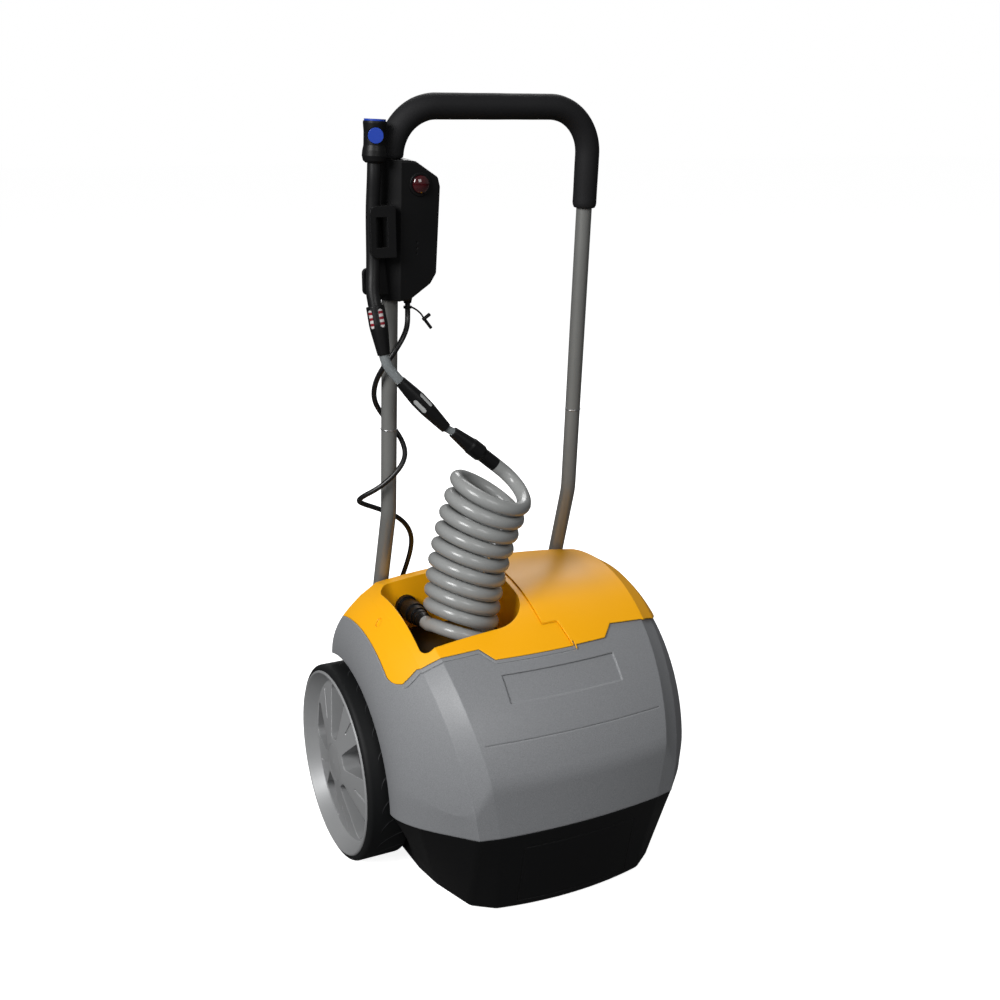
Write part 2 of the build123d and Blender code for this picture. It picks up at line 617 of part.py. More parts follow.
def wheels():
    """Tyre, rim, bush and hub cap of each wheel, the axle and its washers."""
    lip_x = RIM_OUTER_X - 5.8
    section = make_face(Polyline(
        (TYRE_INNER_X, BORE_RADIUS),
        (TYRE_INNER_X, TYRE_RADIUS),
        (TYRE_OUTER_X, TYRE_RADIUS),
        (TYRE_OUTER_X, RIM_RADIUS + 0.2),
        (lip_x, RIM_RADIUS + 0.2),
        (lip_x, BORE_RADIUS),
        close=True,
    ))
    for x in (TYRE_INNER_X, TYRE_OUTER_X):
        section = fillet(section.vertices().sort_by_distance((x, TYRE_RADIUS, 0))[0], TYRE_SHOULDER)
    tyre = Pos(0, 0, AXLE_Z) * revolve(section, Axis.X)

    rim = ring_about_axle([
        (BUSH_X[0] - 0.2, BUSH_RADIUS + RUNNING_GAP),
        (BUSH_X[0] - 0.2, 22.0),
        (DISC_BACK_X + 2.0, 25.0),
        (DISC_BACK_X, RIM_BARREL_RADIUS),
        (TYRE_INNER_X + 2.0, RIM_BARREL_RADIUS),
        (TYRE_INNER_X + 2.0, BORE_RADIUS - 0.1),
        (lip_x + 0.2, BORE_RADIUS - 0.1),
        (lip_x + 0.2, RIM_RADIUS),
        (RIM_OUTER_X - 1.4, RIM_RADIUS),
        (RIM_OUTER_X, RIM_RADIUS - 1.4),
        (RIM_OUTER_X, RIM_RADIUS - 3.0),
        RIM_DISH,
        (HUB_FACE_X, HUB_RADIUS + 0.3),
        (HUB_FACE_X - 2.5, HUB_RADIUS + 0.3),
        (HUB_FACE_X - 2.5, 16.0),
        (BUSH_X[1] + 0.2, 16.0),
        (BUSH_X[1] + 0.2, BUSH_RADIUS + RUNNING_GAP),
    ])
    near, near_half = WINDOW_NEAR
    far, far_half = WINDOW_FAR
    window = make_face(Polyline((near, -near_half), (far, -far_half), (far, far_half), (near, near_half), close=True))
    window = fillet(window.vertices().group_by(Axis.X)[0], 0.8 * near_half)
    window = fillet(window.vertices().group_by(Axis.X)[-1], 10.0)
    fall = (HUB_FACE_X - RIM_DISH[0]) / (RIM_DISH[1] - HUB_RADIUS)
    groove_floor = HUB_FACE_X - fall * (GROOVE_MID_RADIUS - HUB_RADIUS) - SPOKE_GROOVE_DEPTH - WHEEL_PLANE_X
    groove = Rot(0, math.degrees(math.atan(fall)), 0) * extrude(SlotOverall(*SPOKE_GROOVE), 12.0)
    groove = Pos(GROOVE_MID_RADIUS, 0, groove_floor) * groove
    for spoke in range(WINDOWS):
        angle = WINDOW_FIRST_ANGLE + spoke * 360 / WINDOWS
        rim -= extrude(wheel_plane(angle) * window, 40.0)
        rim -= wheel_plane(angle + 180 / WINDOWS) * groove

    cap_back = HUB_FACE_X - 2.3
    cap = ring_about_axle([
        (220.0, 0),
        (220.0, 15.8),
        (cap_back, 15.8),
        (cap_back, HUB_RADIUS),
        (HUB_FACE_X - 0.1, HUB_RADIUS),
        (HUB_FACE_X + 1.2, 0),
    ])
    bush = ring_about_axle([
        (BUSH_X[0], AXLE_RADIUS + RUNNING_GAP),
        (BUSH_X[0], BUSH_RADIUS),
        (BUSH_X[1], BUSH_RADIUS),
        (BUSH_X[1], AXLE_RADIUS + RUNNING_GAP),
    ])
    for side, place in (("right", lambda shape: shape), ("left", lambda shape: mirror(shape, about=Plane.YZ))):
        saved(f"tyre_{side}", place(tyre))
        saved(f"rim_{side}", place(rim))
        saved(f"hub_cap_{side}", place(cap))
        saved(f"wheel_bush_{side}", place(bush))
    axle = x_cylinder(AXLE_RADIUS, -AXLE_HALF, AXLE_HALF)
    washers = []
    for x in WASHER_X:
        washer = x_cylinder(WASHER_RADIUS, x, x + WASHER_THICK) - x_cylinder(AXLE_RADIUS, x, x + WASHER_THICK)
        washers += both_sides(washer)
    saved("axle", axle)
    saved("axle_washers", *washers)
    print("rim solids:", len(rim.solids()))


# Handle
def tube_y(z):
    """Y of the upper tubes at a height."""
    slope = (TUBE_JOINT[0] - TUBE_KINK[0]) / (TUBE_JOINT[1] - TUBE_KINK[1])
    return TUBE_JOINT[0] + slope * (z - TUBE_JOINT[1])


def handle():
    """Two kinked lower tubes, the U-shaped upper tube plugged into them and its foam grip."""
    foot, kink, joint = [(TUBE_X, *point) for point in (TUBE_FOOT, TUBE_KINK, TUBE_JOINT)]
    path = FilletPolyline(foot, kink, joint, radius=KINK_RADIUS)
    start = Plane(origin=foot, z_dir=Vector(*kink) - Vector(*foot))
    tube = sweep(start * Circle(TUBE_RADIUS), path=path) - sweep(start * Circle(TUBE_RADIUS - 1.5), path=path)
    lean = (Vector(*joint) - Vector(*kink)).normalized()
    screw_at = Vector(*joint) - lean * 14.0
    hole = rod(screw_at, screw_at + Vector(0, 20.0, 0), SCREW_RADIUS + 0.2)
    tube -= hole

    top_y = tube_y(HANDLE_TOP_Z)
    corner = (TUBE_X, top_y, HANDLE_TOP_Z)
    foot_up = Vector(*joint) + lean * 0.5
    loop = FilletPolyline(
        (-foot_up.X, foot_up.Y, foot_up.Z), (-TUBE_X, top_y, HANDLE_TOP_Z), corner, foot_up, radius=GRIP_BEND_RADIUS
    )
    begin = Plane(origin=(-foot_up.X, foot_up.Y, foot_up.Z), z_dir=lean)
    upper = sweep(begin * Circle(TUBE_RADIUS), path=loop) - sweep(begin * Circle(TUBE_RADIUS - 1.5), path=loop)
    spigot = rod(foot_up + lean * 30.0, foot_up - lean * 45.0, TUBE_RADIUS - 1.6)
    spigot += rod(foot_up + lean * 30.0, foot_up + lean * 1.0, TUBE_RADIUS - 1.0)
    spigot -= rod(foot_up + lean * 31.0, foot_up - lean * 46.0, TUBE_RADIUS - 3.2)
    for plug, gap in zip(both_sides(spigot), both_sides(hole)):
        upper += plug
        upper -= gap
    screw = rod(screw_at, screw_at + Vector(0, 11.0, 0), SCREW_RADIUS) + rod(
        screw_at + Vector(0, 10.6, 0), screw_at + Vector(0, 12.8, 0), 4.0
    )

    grip_points = [
        (-TUBE_X, tube_y(FOAM_LEFT_END_Z), FOAM_LEFT_END_Z),
        (-TUBE_X, top_y, HANDLE_TOP_Z),
        corner,
        (TUBE_X, tube_y(FOAM_RIGHT_END_Z), FOAM_RIGHT_END_Z),
    ]
    grip_path = FilletPolyline(*grip_points, radius=GRIP_BEND_RADIUS)
    grip_start = Plane(origin=grip_points[0], z_dir=lean)
    foam = sweep(grip_start * Circle(FOAM_RADIUS), path=grip_path)
    foam -= sweep(begin * Circle(TUBE_RADIUS), path=loop)
    right, left = both_sides(tube)
    saved("lower_tube_right", right)
    saved("lower_tube_left", left)
    saved("upper_handle", upper)
    saved("foam_grip", foam)
    saved("handle_screws", *both_sides(screw))
    print("handle solids:", len(tube.solids()), len(upper.solids()), len(foam.solids()))


# Control box
def box_form(inset):
    """Form of the control box in its own frame: x across, y back, z up the tube."""
    corners = [
        (BOX_SLEEVE_MEETS_X, 0.0), (17.0, 0.0), (45.0, 19.5), (52.5, 32.0), (55.5, 135.0),
        (52.5, 146.0), (24.0, 164.5), (14.0, BOX_HEIGHT), (BOX_SLEEVE_MEETS_X, BOX_HEIGHT),
    ]
    face = make_face(Polyline(*corners, close=True))
    if inset:
        face = offset(face, -inset, kind=Kind.INTERSECTION)
    else:
        face = fillet(face.vertices().filter_by_position(Axis.X, 40.0, 60.0), 6.0)
    depth = BOX_FRONT + BOX_REAR - 2 * inset
    form = Pos(0, BOX_REAR - inset, 0) * extrude(Plane.XZ * face, depth)
    if not inset:
        form = fillet(form.faces().sort_by(Axis.Y)[0].edges().filter_by_position(Axis.X, 5.5, 60.0), 3.0)
    return form


def control_box():
    """Two half shells clamped on the left tube, push button, board, hose holder and cable gland."""
    lean = math.radians(HANDLE_LEAN)
    frame = Plane(
        origin=(-TUBE_X, tube_y(BOX_FOOT_Z), BOX_FOOT_Z), x_dir=(1, 0, 0), z_dir=(0, -math.sin(lean), math.cos(lean))
    )
    sleeve = Pos(0, 0, BOX_HEIGHT / 2) * Cylinder(BOX_CLAMP_RADIUS, BOX_HEIGHT)
    bore = Pos(0, 0, BOX_HEIGHT / 2) * Cylinder(TUBE_RADIUS + RUNNING_GAP, BOX_HEIGHT + 20)
    cheek_x = -0.5 * BOX_CLAMP_RADIUS
    cheek_y = -math.sqrt(BOX_CLAMP_RADIUS ** 2 - cheek_x ** 2)
    cheek_plan = [(BOX_SLEEVE_MEETS_X, -BOX_FRONT), (cheek_x, cheek_y), (cheek_x, 0), (BOX_SLEEVE_MEETS_X, 0)]
    cheek = extrude(make_face(Polyline(*cheek_plan, close=True)), BOX_HEIGHT)
    solid = box_form(0.0) + sleeve + cheek
    room = box_form(2.5) - sleeve - cheek
    shell = solid - room - bore
    front = shell & block((-20, 60), (-40, -0.2), (-10, 180))
    rear = shell & block((-20, 60), (0.2, 40), (-10, 180))

    at_x, at_z = BUTTON_AT
    front -= rod((at_x, -40, at_z), (at_x, -10, at_z), BUTTON_RADIUS + 0.4)
    button = rod((at_x, -26.5, at_z), (at_x, -18.5, at_z), BUTTON_RADIUS)
    dome = Pos(at_x, -26.5 + 11.0, at_z) * Sphere(15.0)
    button += dome & rod((at_x, -31.0, at_z), (at_x, -26.5, at_z), BUTTON_RADIUS)
    bezel = rod((at_x, -BOX_FRONT - 2.2, at_z), (at_x, -BOX_FRONT, at_z), 13.4)
    bezel -= rod((at_x, -40, at_z), (at_x, -10, at_z), BUTTON_RADIUS + 0.4)
    board = block((18.0, 41.0), (-14.0, -12.4), (60.0, 146.0))
    board += rod((at_x, -15.0, at_z), (at_x, -13.0, at_z), 4.0)

    screws = []
    for x, z in BOX_SCREWS:
        front += rod((x, -BOX_FRONT + 2.0, z), (x, 17.2, z), 3.6)
        front -= rod((x, 0.0, z), (x, 30.0, z), 1.55)
        rear -= rod((x, 16.0, z), (x, 30.0, z), 3.2)
        screws.append(rod((x, 2.0, z), (x, 18.0, z), 1.5) + rod((x, 17.4, z), (x, 20.2, z), 3.0))
    for step in range(3):
        front -= block((25.0, 27.0), (-30.0, -21.0), (56.0 + 6.5 * step, 59.0 + 6.5 * step))

    outside = frame * solid
    plate = block((-171.0, -139.0), (-38.0, -33.0), (788.0, 848.0))
    plate = fillet(plate.edges().filter_by(Axis.Y).sort_by(Axis.X)[:2], 9.0)
    plate -= block((-164.0, -149.5), (-50.0, -20.0), (800.0, 835.0))
    arm = block((-147.0, -139.0), (-38.0, -6.0), (788.0, 848.0))
    jaw = block((-171.5, -140.0), (-12.0, -6.0), (742.0, 774.0))
    jaw = fillet(jaw.edges().filter_by(Axis.Y).sort_by(Axis.X)[:2], 6.0)
    holder = (plate + arm + jaw) - outside
    holder = Part() + [piece for piece in holder.solids() if piece.volume > 100.0]
    link = block((-150.5, -143.0), (-12.0, -6.0), (742.0, 848.0)) - outside
    holder += link

    exit_x, exit_y, exit_z = CABLE_ROUTE[0]
    gland = turned((exit_x, exit_y, exit_z), (exit_x, exit_y, 752.0), [(0, 4.6), (0.3, 6.2), (1, 6.2)]) - outside
    gland = gland.solids().sort_by(Axis.Z)[0]
    saved("control_box_front", frame * front)
    saved("control_box_rear", frame * rear)
    saved("start_button", frame * button)
    saved("button_bezel", frame * bezel)
    saved("control_board", frame * board)
    saved("box_screws", *[frame * screw for screw in screws])
    saved("hose_holder", holder)
    saved("cable_gland_box", gland)
    print("box solids:", len(front.solids()), len(rear.solids()), len(holder.solids()))
    press = frame.y_dir
    print(f"start button presses along ({press.X:.4f}, {press.Y:.4f}, {press.Z:.4f})")


# Hose line
def coil_point(turn):
    """Centre line of the coil at an angle, counted in whole turns from its foot."""
    rise = COIL_PITCH * turn - COIL_LOOSE * min(turn, 0.0) ** 2
    share = rise / COIL_TILT_SPAN
    tilt = math.radians(COIL_TILT + COIL_TILT_GAIN * share)
    nose = math.radians(COIL_NOSE_DOWN + COIL_NOSE_GAIN * share + COIL_NOSE_TOP * share ** 4)
    across = Vector(math.cos(tilt), 0, -math.sin(tilt))
    back = Vector(0, math.cos(nose), math.sin(nose))
    centre = Vector(
        COIL_FOOT[0] + COIL_BOW * rise ** 2, COIL_FOOT[1] + COIL_FORWARD * rise, COIL_FOOT[2] + rise
    )
    angle = 2 * math.pi * turn
    return centre - across * (COIL_RADIUS * math.cos(angle)) - back * (COIL_RADIUS * math.sin(angle))


def coil_way(turn):
    """Direction of travel along the coil."""
    step = 1e-4
    return (coil_point(turn + step) - coil_point(turn - step)).normalized()


def coil_path():
    """Tail from the outlet, the wound turns and the run up into the connector, as tangent arcs."""
    outlet = Vector(OUTLET_X, OUTLET_FRONT_Y, OUTLET_Z)
    forward = Vector(0, -1, 0)
    tail = outlet + forward * COIL_TUBE
    connector = Vector(*CONNECTOR_FOOT)
    rise = (Vector(*CONNECTOR_HEAD) - connector).normalized()
    before = connector - rise * CONNECTOR_LEAD
    arcs = [Line(outlet, tail)]
    steps = round((COIL_LAST_TURN - COIL_FIRST_TURN) * COIL_ARCS_PER_TURN)
    turns = [COIL_FIRST_TURN + (COIL_LAST_TURN - COIL_FIRST_TURN) * step / steps for step in range(steps + 1)]
    arcs += biarc(tail, forward, coil_point(turns[0]), coil_way(turns[0]))
    for start, end in zip(turns, turns[1:]):
        arcs += biarc(coil_point(start), coil_way(start), coil_point(end), coil_way(end))
    arcs += biarc(coil_point(turns[-1]), coil_way(turns[-1]), before, rise)
    arcs.append(Line(before, connector))
    return arcs


def least_gap(arcs, diameter):
    """Least gap between stretches of the coil that are more than half a turn apart."""
    points = []
    travelled = 0.0
    places = []
    for arc in arcs:
        steps = max(2, int(arc.length / 4.0))
        for step in range(steps):
            points.append(arc.position_at(step / steps))
            places.append(travelled + arc.length * step / steps)
        travelled += arc.length
    apart = math.pi * COIL_RADIUS
    gaps = [
        (here - there).length
        for index, here in enumerate(points)
        for other, there in enumerate(points[:index])
        if places[index] - places[other] > apart
    ]
    return min(gaps) - diameter


def hose_line():
    """Outlet fitting, coil, connectors, joiners, hoses and the end coupling."""
    arcs = coil_path()
    wire = Wire(arcs)
    start = Plane(origin=(OUTLET_X, OUTLET_FRONT_Y, OUTLET_Z), z_dir=(0, -1, 0))
    coil = sweep(start * Circle(COIL_TUBE / 2), path=wire)
    share = coil.volume / (math.pi * COIL_TUBE ** 2 / 4 * wire.length)
    print(f"coil: length {wire.length:.1f}, least gap {least_gap(arcs, COIL_TUBE):.2f}, volume share {share:.4f}")
    saved("coil_hose", coil)

    fitting = turned(
        (OUTLET_X, WELL_REAR - 0.3, OUTLET_Z),
        (OUTLET_X, OUTLET_FRONT_Y, OUTLET_Z),
        [(0, 15.0), (0.1, 15.0), (0.1, 12.8), (0.3, 12.8), (0.3, 14.2), (0.5, 14.2), (0.5, 12.4),
         (0.68, 12.4), (0.68, 10.6), (0.8, 10.6), (0.8, 9.6), (0.88, 9.6), (0.88, 10.6), (1, 9.0)],
    )
    neck = rod((OUTLET_X, WELL_REAR - 1.0, OUTLET_Z), (OUTLET_X, BARB_Y, OUTLET_Z), OUTLET_NECK)
    barb = rod((OUTLET_X, BARB_Y, OUTLET_Z + OUTLET_NECK), (OUTLET_X, BARB_Y, BARB_Z), OUTLET_NECK)
    saved("outlet_fitting", fitting + neck + barb)

    connector = turned(CONNECTOR_FOOT, CONNECTOR_HEAD, [
        (0, 9.0), (0.3, 9.0), (0.36, 10.8), (0.58, 10.8), (0.62, 9.8), (1, 6.8),
    ])
    saved("coil_connector", connector)
    link = rod(CONNECTOR_HEAD, LOWER_JOINER_FOOT, CLEAR_RADIUS - 1.2) - connector
    for name, foot, head, profile, window_ends, window_turns, band in (
        ("lower_joiner", LOWER_JOINER_FOOT, LOWER_JOINER_HEAD,
         [(0, 6.8), (0.05, 7.2), (0.4, 9.8), (0.62, 10.0), (0.8, 8.6), (1, 6.8)], (0.415, 0.67), (-38.0, 38.0), 9.2),
        ("upper_joiner", UPPER_JOINER_FOOT, UPPER_JOINER_HEAD,
         [(0, 7.6), (0.5, 10.8), (0.62, 11.3), (0.98, 11.0), (1, 10.4)], (0.55, 0.93), (-64.0, 8.0), 10.4),
    ):
        joiner = turned(foot, head, profile)
        link = link - joiner
        axis = Vector(*head) - Vector(*foot)
        frame = Plane(origin=foot, x_dir=axis.cross(Vector(0, 1, 0)).cross(axis) * -1, z_dir=axis)
        panes = []
        low, high = [share * axis.length for share in window_ends]
        for turn in window_turns:
            opening = Pos(0, 0, (low + high) / 2) * Rot(0, 90, 0) * extrude(SlotOverall(high - low, WINDOW_WIDTH), 30.0)
            opening = frame * (Rot(0, 0, turn) * opening)
            core = rod(foot, head, band - 1.2)
            panes.append((joiner & opening) - core)
            joiner -= opening - core
        panes = [pane & rod(foot, head, band) for pane in panes]
        saved(name, joiner)
        saved(f"{name}_windows", *panes)
        print(name, "solids:", len(joiner.solids()), [len(pane.solids()) for pane in panes])

    saved("clear_link", link)

    head_way = (Vector(*LOWER_JOINER_HEAD) - Vector(*LOWER_JOINER_FOOT)).normalized()
    foot_way = (Vector(*UPPER_JOINER_HEAD) - Vector(*UPPER_JOINER_FOOT)).normalized()
    clear = Wire(biarc(Vector(*LOWER_JOINER_HEAD), head_way, Vector(*UPPER_JOINER_FOOT), foot_way))
    clear_start = Plane(origin=LOWER_JOINER_HEAD, z_dir=head_way)
    print(f"clear hose: length {clear.length:.1f}")
    saved("clear_hose", sweep(clear_start * Circle(CLEAR_RADIUS), path=clear))
    coupling_way = (Vector(*COUPLING_HEAD) - Vector(*COUPLING_FOOT)).normalized()
    leave = Vector(*UPPER_JOINER_HEAD) + foot_way * (2 * WAND_HOSE_RADIUS)
    reach = Vector(*COUPLING_FOOT) - coupling_way * (2 * WAND_HOSE_RADIUS)
    wand_route = [UPPER_JOINER_HEAD, leave, *WAND_MIDDLE, reach, COUPLING_FOOT]
    saved("wand_hose", cord_tube(wand_route, WAND_HOSE_RADIUS, "wand hose"))

    foot = Vector(*COUPLING_FOOT)
    top = Vector(*COUPLING_HEAD)
    body = turned(foot, top, [
        (0, 10.0), (0.05, 13.0), (0.17, 14.5), (0.3, 14.0), (0.42, 12.8), (0.75, 12.9), (0.95, 13.8), (1, 13.6),
    ])
    body -= rod(foot + (top - foot) * 0.4, top + (top - foot) * 0.1, SOCKET_RADIUS)
    button_at = foot + (top - foot) * ((RELEASE_Z - foot.Z) / (top.Z - foot.Z))
    turn_left = math.radians(RELEASE_TURN)
    nose = Vector(-math.sin(turn_left), -math.cos(turn_left), 0)
    body -= rod(button_at + nose * 8.6, button_at + nose * 20.0, RELEASE_RADIUS + 0.4)
    body -= rod(button_at + nose * 6.6, button_at + nose * 9.0, 3.2)
    release = rod(button_at + nose * (8.6 + RELEASE_TRAVEL + 0.4), button_at + nose * 14.6, RELEASE_RADIUS)
    spring = rod(button_at + nose * 6.6, button_at + nose * 8.6, 2.8)
    spring -= rod(button_at + nose * 6.0, button_at + nose * 9.0, 2.0)
    collar = rod(top, top + (top - foot) * 0.05, 12.6) - rod(foot, top + (top - foot) * 0.1, 8.6)
    saved("coupling_body", body)
    saved("release_button", release)
    saved("release_spring", spring)
    saved("coupling_collar", collar)
    print("coupling solids:", len(body.solids()))


def cable_and_plug():
    """Control cable wound round the left tube, and the port plug tied to it."""
    saved("control_cable", cord_tube(CABLE_ROUTE, CABLE_RADIUS, "control cable"))
    ring_at = Vector(*CABLE_ROUTE[0]) - Vector(0, 0, 5.0)
    ring = Pos(*ring_at) * (Cylinder(5.2, 3.0) - Cylinder(CABLE_RADIUS + 0.35, 4.0))
    strap_end = (-88.5, 1.3, 707.5)
    strap_points = [(ring_at.X + 4.6, ring_at.Y, ring_at.Z), (-99.0, 1.3, 719.5), (-92.5, 1.3, 714.0), strap_end]
    strap = sweep(
        Plane(origin=strap_points[0], z_dir=Vector(*strap_points[1]) - Vector(*strap_points[0])) * Circle(1.1),
        path=FilletPolyline(*strap_points, radius=route_radii(strap_points)),
    )
    cross = rod((-90.0, 1.3, 706.0), (-80.5, 1.3, 712.5), 2.2)
    stem = rod(strap_end, (-79.0, 1.3, 695.0), 2.0)
    plug = ring + strap + cross + stem
    saved("port_plug", plug)
    print("plug solids:", len(plug.solids()))


# Inside
def inside():
    """Water tank with strainer and cap, battery, motor and pump with their hoses."""
    tank = block((-TANK_HALF, TANK_HALF), TANK_Y, TANK_Z)
    tank = fillet(tank.edges().filter_by(Axis.Z), 26.0)
    room = block((-TANK_HALF + 3, TANK_HALF - 3), (TANK_Y[0] + 3, TANK_Y[1] - 3), (TANK_Z[0] + 3, TANK_Z[1] - 3))
    room = fillet(room.edges().filter_by(Axis.Z), 23.0)
    neck_x, neck_y = NECK_AT
    top = TANK_Z[1]
    neck = rod((neck_x, neck_y, top - 2), (neck_x, neck_y, top + 22), NECK_RADIUS)
    tank = (tank + neck) - room - rod((neck_x, neck_y, top - 10), (neck_x, neck_y, top + 30), NECK_RADIUS - 4)
    rim_z = top + 22
    basket = rod((neck_x, neck_y, rim_z - 76), (neck_x, neck_y, rim_z + 1), NECK_RADIUS - 6)
    basket += rod((neck_x, neck_y, rim_z), (neck_x, neck_y, rim_z + 1.5), NECK_RADIUS - 1)
    basket -= rod((neck_x, neck_y, rim_z - 74), (neck_x, neck_y, rim_z + 5), NECK_RADIUS - 8)
    cap = rod((neck_x, neck_y, rim_z - 16), (neck_x, neck_y, rim_z + 6), NECK_RADIUS + 4)
    cap -= rod((neck_x, neck_y, rim_z - 20), (neck_x, neck_y, rim_z + 2), NECK_RADIUS + 0.5)
    cap += block((neck_x - 26, neck_x + 26), (neck_y - 4, neck_y + 4), (rim_z + 5, rim_z + 13))
    saved("water_tank", tank)
    saved("strainer_basket", basket)
    saved("filler_cap", cap)

    battery = block((-BATTERY_HALF, BATTERY_HALF), BATTERY_Y, (BASE_BOTTOM_Z + BASE_WALL, BATTERY_TOP_Z))
    for x in (-54.0, 54.0):
        battery += block((x - 6.0, x + 6.0), (-56.0, -44.0), (BATTERY_TOP_Z - 1.0, BATTERY_TOP_Z + 6.0))
    bracket_top = UPRIGHT_TOP_Z + 3.0
    bracket = block((-UPRIGHT_X - 5.0, UPRIGHT_X + 5.0), (-20.0, 20.0), (UPRIGHT_TOP_Z, bracket_top))
    motor_z = bracket_top + 28.0
    can = x_cylinder(26.0, -100.0, -30.0, 0, motor_z) - x_cylinder(23.5, -97.5, -32.5, 0, motor_z)
    foot = block((-92.0, -38.0), (-16.0, 16.0), (bracket_top, motor_z - 18.0)) - x_cylinder(25.0, -100.0, -30.0, 0, motor_z)
    can += foot
    can -= x_cylinder(3.0 + RUNNING_GAP, -110.0, -20.0, 0, motor_z)
    shaft = x_cylinder(3.0, -99.0, -16.0, 0, motor_z) + x_cylinder(18.0, -88.0, -42.0, 0, motor_z)
    shaft += x_cylinder(4.5, -25.0, -17.0, 2.0, motor_z)
    head = block((-29.6, 45.0), (-30.0, 30.0), (bracket_top, bracket_top + 62.0))
    head = fillet(head.edges().filter_by(Axis.X), 6.0)
    head -= x_cylinder(8.0, -30.0, -12.0, 0, motor_z)
    port_z = motor_z + 4.0
    suction = [(95.0, TANK_Y[1], 60.0), (95.0, -50.0, 60.0), (95.0, -50.0, 120.0), (92.0, -50.0, 165.0),
               (60.0, -50.0, port_z), (20.0, -52.0, port_z), (20.0, -30.0, port_z)]
    outlet = [(20.0, 5.0, bracket_top + 62.0), (20.0, 5.0, 246.0), (-10.0, 10.0, 264.0), (-60.0, 18.0, 266.0),
              (-100.0, 26.0, 266.0), (OUTLET_X, BARB_Y, 280.0), (OUTLET_X, BARB_Y, BARB_Z)]
    saved("battery_pack", battery)
    saved("pump_bracket", bracket)
    saved("pump_motor", can)
    saved("motor_shaft", shaft)
    saved("pump_head", head)
    saved("suction_hose", cord_tube(suction, 6.0, "suction hose"))
    saved("pressure_hose", cord_tube(outlet, 6.0, "pressure hose"))
    print("inside solids:", len(tank.solids()), len(can.solids()), len(head.solids()))


os.makedirs("parts", exist_ok=True)
body_and_covers()
base()
rear_cover()
wheels()
handle()
control_box()
hose_line()
cable_and_plug()
inside()
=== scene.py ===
# %% [markdown]
# This lesson dresses the CAD model of a wheeled pressure washer for a studio picture.
# The CAD solids arrive as a fixed frame, so nothing is moved: the coiled hose, the control cable and
# the foam grip are laid again as smooth curves, and every surface gets a material built from nodes.

# %% Load the frame
import bpy
import math
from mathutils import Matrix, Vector


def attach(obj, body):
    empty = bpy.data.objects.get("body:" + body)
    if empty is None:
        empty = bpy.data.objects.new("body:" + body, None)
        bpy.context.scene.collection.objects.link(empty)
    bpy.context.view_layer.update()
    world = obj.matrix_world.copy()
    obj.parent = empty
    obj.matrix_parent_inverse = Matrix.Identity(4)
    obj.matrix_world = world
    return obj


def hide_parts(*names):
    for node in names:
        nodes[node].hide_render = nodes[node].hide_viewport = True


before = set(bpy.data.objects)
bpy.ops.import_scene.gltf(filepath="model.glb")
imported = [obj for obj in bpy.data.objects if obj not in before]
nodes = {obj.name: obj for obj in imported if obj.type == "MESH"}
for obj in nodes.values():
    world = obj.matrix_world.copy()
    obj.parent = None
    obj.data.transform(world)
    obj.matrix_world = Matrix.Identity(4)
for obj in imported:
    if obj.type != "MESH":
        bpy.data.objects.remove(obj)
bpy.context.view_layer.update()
AXLE_Y = 0.067

# %% [markdown]
# The camera stands where the photographer stood: a little below the top of the handle, to the left of
# the front. Its place and focal length were worked out from the machine's own lines, so the render
# and the photograph can be laid over each other.

# %% Camera
CAMERA_LENS = 45.95
CAMERA_SENSOR = 36.0
CAMERA_PLACE = (-0.7144, -1.4571 + AXLE_Y, 0.9388)
CAMERA_TILT = 73.6
CAMERA_TURN = -26.64

camera_data = bpy.data.cameras.new("studio_camera")
camera_data.lens = CAMERA_LENS
camera_data.sensor_width = CAMERA_SENSOR
camera = bpy.data.objects.new("studio_camera", camera_data)
camera.location = CAMERA_PLACE
camera.rotation_euler = (math.radians(CAMERA_TILT), 0.0, math.radians(CAMERA_TURN))
bpy.context.scene.collection.objects.link(camera)
bpy.context.scene.camera = camera
print("camera at", tuple(round(value, 3) for value in camera.location))


# %% [markdown]
# A hose is a length of tube on a smooth line. A NURBS spline takes the route's points as control
# points and never kinks, and the curve's own bevel gives the round section. The order is set after
# the points are added, because a new spline has too few points for it.

# %% Hose curves
STEPS_ROUND = 6
STEPS_ALONG = 6
SPLINE_ORDER = 3


def hose_curve(name, points, diameter):
    """Round tube on one smooth open spline that has the route's points as its control points."""
    data = bpy.data.curves.new(name, "CURVE")
    data.dimensions = "3D"
    data.bevel_depth = diameter / 2
    data.bevel_resolution = STEPS_ROUND
    data.resolution_u = STEPS_ALONG
    data.use_fill_caps = True
    spline = data.splines.new("NURBS")
    spline.points.add(len(points) - 1)
    for point, place in zip(spline.points, points):
        point.co = (*place, 1.0)
    spline.order_u = SPLINE_ORDER
    spline.use_endpoint_u = True
    piece = bpy.data.objects.new(name, data)
    bpy.context.scene.collection.objects.link(piece)
    return piece


def in_frame(x, y, z):
    """Millimetres from the floor below the wheel axle to metres in the frame."""
    return Vector((x / 1000, y / 1000 + AXLE_Y, z / 1000))


print("floor below the axle, in the frame:", tuple(in_frame(0, 0, 0)))

# %% [markdown]
# The grey hose is wound like a spring and leans to the right as it rises. One formula gives its centre
# line: a tilted circle, lifted by one pitch per turn, on an axis that bows. The front of each turn dips
# further towards the top, and the first turn hangs looser. The spline runs just inside its control
# points, so they sit slightly wider. The last points lead from the top turn up into the connector.

